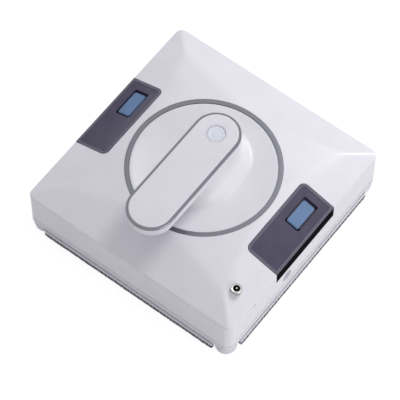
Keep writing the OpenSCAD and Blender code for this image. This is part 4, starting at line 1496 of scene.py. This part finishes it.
@dataclass
class Tanks:
    """The two smoked tanks with their lids and blue caps, and what lets the water out.

    Attributes:
        lid_t: Thickness of the lid.
        rim: Width of the lid's flat rim.
        sink: Depth of the lid's field.
        cap_x: Middle of the filler cap along X.
        cap_y: Middle of the filler cap along Y.
        cap_half: Half of the cap's width and of its length.
        recess: Lowest and highest corner of the cap's recess, from the cap's middle.
        fill_r: Radius of the filling hole.
        pin_r: Radius of the cap's hinge pins.
        slope: The roof's climb.
    """

    lid_t: float = 5.2
    rim: float = 3.0
    sink: float = 0.6
    cap_x: float = 101.3
    cap_y: float = 18.0
    cap_half: Pair = (6.7, 14.0)
    recess: tuple[Spot, Spot] = ((-8.5, -15.8, -4.3), (8.5, 17.0, 6.0))
    fill_r: float = 4.6
    pin_r: float = 0.8
    slope: float = 0.31982

    def on_roof(self) -> Matrix:
        """Finds where the filler cap lies on the roof.

        Returns:
            The place of its middle, with Z square to the roof.
        """
        z = ROOF_EDGE_Z + (WALL_X - self.cap_x) * self.slope
        turn = Matrix.Rotation(math.atan(self.slope), 4, "Y")
        return Matrix.Translation(Vector((self.cap_x, self.cap_y, z)) * MM) @ turn

    def lid(self) -> Piece:
        """Models the right-hand lid.

        Returns:
            The lid with its sunk field, the cap's recess and the hinge's bores.
        """
        piece = tank_block("tank_lid_piece_right", 0.0, 30.0, WALL_X)
        cut_at_roof(piece, 0.0, self.slope)
        cut_at_roof(piece, self.lid_t, self.slope, upper=False)
        pick(piece, Pick.FACES, lambda m, d: d.z > 0.9)
        bpy.ops.mesh.inset(thickness=self.rim * MM, depth=0)
        bpy.ops.mesh.extrude_region_move(
            TRANSFORM_OT_translate={"value": (0, 0, -self.sink * MM)}
        )
        close_edit()
        recess = block("recess", *self.recess)
        round_edges(recess, 1.6, 5, lambda m, d: abs(d.z) > 0.9)
        hole = rod(self.fill_r, (0, 0, -12), (0, 0, 1))
        bore = rod(0.85, (-10.3, PIN_Y, PIN_Z), (10.3, PIN_Y, PIN_Z), 24)
        for tool in (recess, hole, bore):
            tool.data.transform(self.on_roof())
            combine(piece, tool)
        ease(piece, 0.35, 3, 38.0)
        for finish in (SMOKED_LID, SMOKED_RIM_HIGHLIGHT, SMOKED_WALL):
            piece.data.materials.append(finish.build())
        for face in piece.data.polygons:
            self.tint(face)
        return piece

    def tint(self, face: bpy.types.MeshPolygon) -> None:
        """Gives a lid's face the field's or the wall's tone, or the rim's painted highlight, by
        where it lies.

        Args:
            face: The face.
        """
        middle = face.center / MM
        roof = ROOF_EDGE_Z + (WALL_X - middle.x) * self.slope
        at_rim_highlight = (
            middle.x < TANK_IN_X + self.rim - 0.1
            or middle.x > WALL_X - self.rim + 0.1
            or abs(middle.y) > TANK_HALF_L - self.rim + 0.1
        )
        # The rim's upward faces get the paler copy of the smoke, which is a painted highlight
        if at_rim_highlight and face.normal.z > 0.3 and middle.z > roof - 0.5:
            face.material_index = 1
        elif middle.x > WALL_X - 0.2:
            face.material_index = 2

    def cup(self) -> Piece:
        """Returns the right-hand tank's cup with its broken edges."""
        return ease(merged_copy("tank_right", "tank_cup_right"), 0.4)

    def cap(self) -> Piece:
        """Models the right-hand filler cap.

        Returns:
            The cap with soft edges, a round hinge end, pins and a plug.
        """
        half_w, half_l = self.cap_half
        piece = block("filler_cap_right", (-half_w, -half_l, -4.0), (half_w, half_l, -1.0))
        round_edges(piece, 2.2, 6, lambda m, d: abs(d.z) > 0.9 and m.y > 13)
        round_edges(piece, 1.45, 6, lambda m, d: abs(d.x) > 0.9 and m.y < -13)
        pick(piece, Pick.FACES, lambda m, d: d.z > 0.99)
        bpy.ops.mesh.inset(thickness=1.0 * MM, depth=0)
        bpy.ops.transform.translate(value=(0, 0, -0.12 * MM))
        close_edit()
        ease(piece, 0.45, 4, 45.0)
        plug = [(0, -6.4), (3.3, -6.4), (3.9, -5.9), (3.9, -5.2), (3.7, -5.0), (3.9, -4.8)]
        stopper = lathe("plug", [*plug, (3.9, -3.9), (0, -3.9)], (0, 0, 0), 48)
        r = self.pin_r
        pin = [(0, 6.2), (r, 6.2), (r, 9.8), (r - 0.2, 10.0), (0, 10.0)]
        pins = [
            lathe("pin", pin, (0, PIN_Y, PIN_Z), 24, turn)
            for turn in (QUARTER_TURN, Matrix.Rotation(-math.pi / 2, 4, "Y"))
        ]
        join(piece, [stopper, *pins])
        for finish in (BLUE_CAP, SMOKED_WALL):
            piece.data.materials.append(finish.build())
        for face in piece.data.polygons:
            face.material_index = int(abs(face.center.x) > (half_w + 0.05) * MM)
        piece.data.transform(self.on_roof())
        return smooth(piece, 40.0)

    def nozzle(self) -> Piece:
        """Models the right-hand spray nozzle.

        Returns:
            A disc with a fine bore and a flange behind the wall.
        """
        depths = [(0.8, 0.5), (1.4, 0.12), (3.2, 0.0), (5.7, 0.0), (6.1, 0.15)]
        outline = [(r, WALL_X - depth) for r, depth in depths] + [(6.2, 119.5), (6.2, 117.6)]
        outline += [(7.0, 117.6), (7.0, 116.0), (0.8, 116.0)]
        return lathe("spray_disc_right", outline, (0, NOZZLE_Y, NOZZLE_Z), 72, QUARTER_TURN)

    def build(self) -> None:
        """Builds and dresses both tanks and their fittings."""
        rights = (
            (self.lid(), "tank_lid", SMOKED_LID, "water_tank", "smoked_lid"),
            (self.cup(), "tank", SMOKED_WALL, "water_tank", "smoked_tank"),
            (self.cap(), "tank_cap", BLUE_CAP, "filler_cap", "cap_blue"),
            (self.nozzle(), "spray_nozzle", GREY_ACETAL, None, "nozzle_grey"),
        )
        for piece, node, finish, body, slot in rights:
            other = mirrored(piece, piece.name.replace("right", "left"))
            for copy, side in ((piece, "right"), (other, "left")):
                rides = "chassis" if body is None else f"{body}_{side}"
                dressed(copy, finish, f"{node}_{side}", rides)
        for side in ("left", "right"):
            painted(f"tank_seal_{side}", SEAL_RUBBER)
            painted(f"atomiser_{side}", BLACK_NYLON)


@dataclass
class Jack:
    """The metal power jack on the roof, and the small window in the wall beside it.

    Attributes:
        x: Its place along X.
        y: Its place along Y.
        radius: Radius of its collar.
        bore: Radius of the collar's bore.
        flange_z: Underside of the collar's flange.
        top: Top of its collar.
        low: Its lower end.
    """

    x: float = 101.3
    y: float = -83.5
    radius: float = 5.5
    bore: float = 3.3
    flange_z: float = 65.04
    top: float = 67.98
    low: float = 49.18

    def build(self) -> None:
        """Builds and dresses the collar, the insulator, the pin, the nut and the window."""
        r, bore, top, low = self.radius, self.bore, self.top, self.low
        neck, rest = r - 0.6, self.flange_z
        collar = [(bore, low), (neck - 0.4, low), (neck, low + 0.4), (neck, rest), (r - 0.2, rest)]
        collar += [(r, 65.24), (r, top - 0.7), (r - 0.15, top - 0.3), (r - 0.45, top)]
        collar += [(r - 0.9, top), (3.75, top - 0.2), (bore, top - 0.6)]
        core = [(1.0, low), (3.28, low), (3.28, top - 1.1), (3.1, top - 1.0), (1.4, top - 1.0)]
        core += [(1.0, top - 1.25)]
        pin = [(0, low - 2), (0.97, low - 2), (0.97, top - 0.9), (0.8, top - 0.62)]
        pin += [(0.45, top - 0.5), (0, top - 0.5)]
        for name, outline, steps, finish, slot, node in (
            ("jack_barrel", collar, 96, TURNED_NICKEL, "bright_steel", "jack_collar"),
            ("jack_insert", core, 64, BLACK_WINDOW, "black_plastic", "jack_insulator"),
            ("jack_contact", pin, 32, TURNED_NICKEL, "bright_steel", "jack_pin"),
        ):
            dressed(lathe(name, outline, (self.x, self.y, 0), steps), finish, node)
        eased_part("jack_nut", "jack_hex_nut", 0.3, ZINC_STEEL, "plain_steel")
        eased_part("status_lens", "window_insert", 0.12, BLACK_WINDOW, "lens_black")


@dataclass
class Pad:
    """The white pad frame, the cloth under it and the four round probes at its corners.

    Attributes:
        probe_c: Distance of a probe from the robot's middle, along each side.
        pile: Height of the cloth's loops.
        tuft: Size of the lumps that the loops make.
        mesh: Distance between the cloth's points.
        stem_z: Height of the shoulder that a probe's spring stands on.
        spring_z: Heights of a spring's lower and upper end.
    """

    probe_c: float = 109.0
    pile: float = 0.45
    tuft: float = 2.4
    mesh: float = 1.7
    stem_z: float = 22.3
    spring_z: Pair = (24.05, 30.95)

    def cloth(self) -> Piece:
        """Models the cloth.

        Returns:
            The cloth, whose loops stand out of its edges and face.
        """
        piece = merged_copy("cleaning_cloth", "microfibre_cloth")
        modify(piece, "REMESH", mode="VOXEL", voxel_size=self.mesh * MM)
        modify(piece, "SMOOTH", factor=0.6, iterations=3)
        lumps = bpy.data.textures.new("loops", "CLOUDS")
        lumps.noise_scale = self.tuft * MM
        strength = 2 * self.pile * MM
        loops = {"texture": lumps, "texture_coords": "LOCAL", "strength": strength}
        modify(piece, "DISPLACE", **loops, mid_level=0.55)
        low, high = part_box("cleaning_cloth")
        for vertex in piece.data.vertices:
            vertex.co.z = min(max(vertex.co.z, low.z), high.z)
        activate(piece)
        bpy.ops.object.shade_smooth()
        return piece

    def probe(self) -> Piece:
        """Models a probe.

        Returns:
            A stepped puck on a stem, round the frame's middle.
        """
        stem = self.stem_z
        outline = [(0, 0.7), *arc((9.6, 1.5), 0.8, -90, 0), (10.4, 4.55), (10.5, 4.65)]
        outline += [(10.75, 4.65), (11.0, 4.9), *arc((10.2, 9.4), 0.8, 0, 90), (3.2, 10.2)]
        outline += [(3.0, 10.4), (3.0, stem), (4.3, stem), (4.4, 22.4), (4.4, 23.7), (4.2, 23.9)]
        return lathe("edge_probe", [*outline, (0, 23.9)], (0, 0, 0), 72)

    def build(self) -> None:
        """Builds and dresses the pad, the cloth, the probes and what stands over them."""
        eased_part("pad_frame", "pad_frame_plate", 0.5, WHITE_MATT, "white_trim", segments=3)
        cloth = dressed(self.cloth(), GREY_LOOPS, "cleaning_cloth")
        first = self.probe()
        for x, across in ((-1, "left"), (1, "right")):
            for y, along in ((-1, "front"), (1, "rear")):
                corner = f"{along}_{across}"
                place = (x * self.probe_c, y * self.probe_c)
                move = Matrix.Translation(Vector((*place, 0)) * MM)
                puck = moved_copy(first, f"probe_puck_{corner}", move)
                node = f"edge_probe_{corner}"
                dressed(puck, WHITE_MATT, node, f"probe_{corner}")
                spring = coil(f"probe_spring_{corner}", place, 3.1, 0.5, self.spring_z, 4.5)
                dressed(spring, GROUND_STEEL, "probe_springs")
                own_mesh(spring)
        bpy.data.objects.remove(first)
        eased_part("probe_switches", "probe_switch_set", 0.3, BLACK_NYLON, "black_plastic")


@dataclass
class Works:
    """What moves and feeds the robot: tracks, gears, fan, battery and board.

    Attributes:
        cell_x: Middle of the battery cells along X.
        cell_reach: How far their film runs from there.
        board_top: Height of the main board's top face.
    """

    cell_x: float = -16.4
    cell_reach: float = 31.9
    board_top: float = 25.0

    def build(self) -> None:
        """Builds and dresses the tracks, the fan, the battery and the board."""
        sides = ("left", "right")
        for node, name, width, finish, slot, body in (
            ("track_belt", "ribbed_belt", 0.25, TRACK_RUBBER, "belt_rubber", None),
            ("drive_wheel", "driven_wheel", 0.35, BLACK_NYLON, "black_plastic", "drive"),
            ("idler_wheel", "free_wheel", 0.35, BLACK_NYLON, "black_plastic", "idler"),
            ("track_frame", "track_cheeks", 0.3, BLACK_NYLON, "black_plastic", None),
            ("gear_motor", "geared_motor", 0.5, ZINC_STEEL, "plain_steel", None),
        ):
            for side in sides:
                rides = "chassis" if body is None else f"{body}_{side}"
                part = (f"{node}_{side}", f"{name}_{side}")
                eased_part(*part, width, finish, slot, rides)
        for node, name, width, finish, slot, body in (
            ("fan_impeller", "fan_wheel", 0.2, BLACK_NYLON, "black_plastic", "fan"),
            ("fan_housing", "fan_scroll", 0.6, BLACK_NYLON, "black_plastic", "chassis"),
            ("fan_guard", "fan_grille", 0.35, BLACK_NYLON, "black_plastic", "chassis"),
            ("fan_motor", "fan_motor_can", 0.8, ZINC_STEEL, "plain_steel", "chassis"),
            ("battery_holder", "battery_tray", 0.4, BLACK_NYLON, "black_plastic", "chassis"),
        ):
            eased_part(node, name, width, finish, slot, body)
        for node, finish in (
            *((f"drive_axle_{side}", GROUND_STEEL) for side in sides),
            *((f"motor_pinion_{side}", CUT_BRASS) for side in sides),
            ("idler_pins", GROUND_STEEL),
            ("fan_shaft", GROUND_STEEL),
            ("fan_gasket", SEAL_RUBBER),
        ):
            painted(node, finish)
        # Cells: blue film with wrinkles along them, and bare steel past its ends
        wrap = ("shrunk_blue_cell_film", "#2C6FB3", 0.28, 1.5, self.cell_x, self.cell_reach)
        cells = ("battery_cells", "battery_cell_set", 0.5, ShrinkWrap(*wrap), "cell_wrap")
        eased_part(*cells, segments=3)
        # Main board: green mask over paler tracks, and black parts above it
        mask = CircuitBoard("main_circuit_board", "#1B5738", 0.34, 1.5, self.board_top)
        eased_part("main_board", "control_board", 0.15, mask, "board")


@dataclass
class Studio:
    """The pale floor, the soft light and the camera at the photograph's angle.

    Attributes:
        azimuth: The camera's turn round the robot, in degrees.
        elevation: Its height above the floor, in degrees.
        roll: Its lean, in degrees.
        distance: Its distance from the point that it looks at.
        aim_z: Height of that point.
        off_x: How far the robot's middle lies right of the picture's middle.
        off_y: How far it lies above it.
        lens: The lens, on a sensor 36 mm wide.
        fill: Colour and strength of the light from all round.
        lamps: Each lamp's name, its power in watts, its side in metres, and where it stands.
        reach: Distance of the lamps, in metres.
        floor_lit: Grey of the floor, as other light meets it.
        floor_seen: Grey of the floor, as the eye sees it, before its glow.
        floor_glow: Glow of the floor, which makes it look white.
    """

    azimuth: float = 37.1552
    elevation: float = 60.4013
    roll: float = 0.0751
    distance: float = 2382.474
    aim_z: float = 57.0
    off_x: float = 3.6914
    off_y: float = 24.5049
    lens: float = 225.0
    fill: Colour = (0.485, 0.48, 0.525, 1.0)
    lamps: tuple[tuple[str, float, float, Spot], ...] = (
        ("key_soft_box", 7.6, 0.4, (0.15, 1.0, 1.0)),
        ("side_soft_box", 7.0, 0.9, (1.0, -0.12, 0.12)),
    )
    reach: float = 1.3
    floor_lit: float = 0.75
    floor_seen: float = 0.4
    floor_glow: float = 0.84

    def camera(self) -> None:
        """Sets the camera up."""
        a, e, roll = (math.radians(v) for v in (self.azimuth, self.elevation, self.roll))
        back = Vector((math.sin(a) * math.cos(e), -math.cos(a) * math.cos(e), math.sin(e)))
        right = Vector((math.cos(a), math.sin(a), 0))
        up = back.cross(right)
        right, up = (
            right * math.cos(roll) + up * math.sin(roll),
            up * math.cos(roll) - right * math.sin(roll),
        )
        aim = Vector((0, 0, self.aim_z))
        place = aim + back * self.distance - right * self.off_x - up * self.off_y
        data = bpy.data.cameras.new("camera")
        data.lens = self.lens
        data.sensor_width = 36.0
        data.clip_start, data.clip_end = 0.05, 30.0
        camera = bpy.data.objects.new("camera", data)
        bpy.context.scene.collection.objects.link(camera)
        turned = Matrix((right, up, back)).transposed().to_4x4()
        camera.matrix_world = Matrix.Translation(place * MM) @ turned
        bpy.context.scene.camera = camera

    def seen(self, tree: Tree) -> Socket:
        """Finds out which rays the eye follows.

        Args:
            tree: The node tree.

        Returns:
            1 for rays from the camera and from mirrors and glass, and 0 for others.
        """
        rays = add_node(tree, "LightPath").outputs
        mirrors = {0: rays["Is Glossy Ray"], 1: rays["Is Transmission Ray"]}
        either = add_node(tree, "Math", mirrors, operation="MAXIMUM").outputs[0]
        any_of = {0: rays["Is Camera Ray"], 1: either}
        return add_node(tree, "Math", any_of, operation="MAXIMUM").outputs[0]

    def surroundings(self) -> None:
        """Makes the world white to the eye and a soft light to the robot."""
        world = bpy.data.worlds.new("studio")
        tree = bare_tree(world)
        tones = {0: self.seen(tree), 6: self.fill, 7: grey(1.0)}
        colour = add_node(tree, "Mix", tones, data_type="RGBA").outputs[2]
        light = add_node(tree, "Background", {"Color": colour, "Strength": 1.0})
        add_node(tree, "OutputWorld", {"Surface": light.outputs[0]})
        bpy.context.scene.world = world

    def floor(self) -> None:
        """Lays a pale floor, which looks white and keeps the robot's shadow."""
        deselect()
        bpy.ops.mesh.primitive_plane_add(size=16, location=(0, 0, -0.0003))
        floor = bpy.context.object
        floor.name = "studio_floor"
        bpy.ops.object.transform_apply(location=True, rotation=True, scale=True)
        made = bpy.data.materials.new("pale_studio_floor")
        tree = bare_tree(made)
        seen = self.seen(tree)
        tones = {0: seen, 6: grey(self.floor_lit), 7: grey(self.floor_seen)}
        paint = add_node(tree, "Mix", tones, data_type="RGBA").outputs[2]
        matt = add_node(tree, "BsdfDiffuse", {"Color": paint, "Roughness": 1.0})
        glow = add_node(tree, "Math", {0: seen, 1: self.floor_glow}, operation="MULTIPLY")
        light = add_node(tree, "Emission", {"Strength": glow.outputs[0], "Color": grey(1.0)})
        both = add_node(tree, "AddShader", {0: matt.outputs[0], 1: light.outputs[0]})
        add_node(tree, "OutputMaterial", {"Surface": both.outputs[0]})
        floor.data.materials.append(made)

    def lamp(self, name: str, power: float, size: float, come: Spot) -> None:
        """Hangs a soft box that faces the robot.

        Args:
            name: The lamp's name.
            power: Its power, in watts.
            size: Its side, in metres.
            come: Where it stands, seen from the robot.
        """
        data = bpy.data.lights.new(name, "AREA")
        data.shape = "SQUARE"
        data.size = size
        data.energy = power
        lamp = bpy.data.objects.new(name, data)
        bpy.context.scene.collection.objects.link(lamp)
        way = Vector(come).normalized()
        turned = way.to_track_quat("Z", "Y").to_matrix().to_4x4()
        lamp.matrix_world = Matrix.Translation(way * self.reach) @ turned

    def build(self) -> None:
        """Builds the floor, the light and the camera."""
        self.camera()
        self.surroundings()
        self.floor()
        for lamp in self.lamps:
            self.lamp(*lamp)
        bpy.context.scene.view_settings.view_transform = "Standard"


def main() -> None:
    """Builds the robot's looks and its studio."""
    logging.basicConfig(level=logging.INFO, format="%(message)s")
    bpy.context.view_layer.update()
    jack = Jack()
    Housing((jack.x, jack.y)).build()
    Handle().build()
    Tanks().build()
    jack.build()
    Pad().build()
    Works().build()
    Studio().build()


if __name__ == "__main__":
    main()
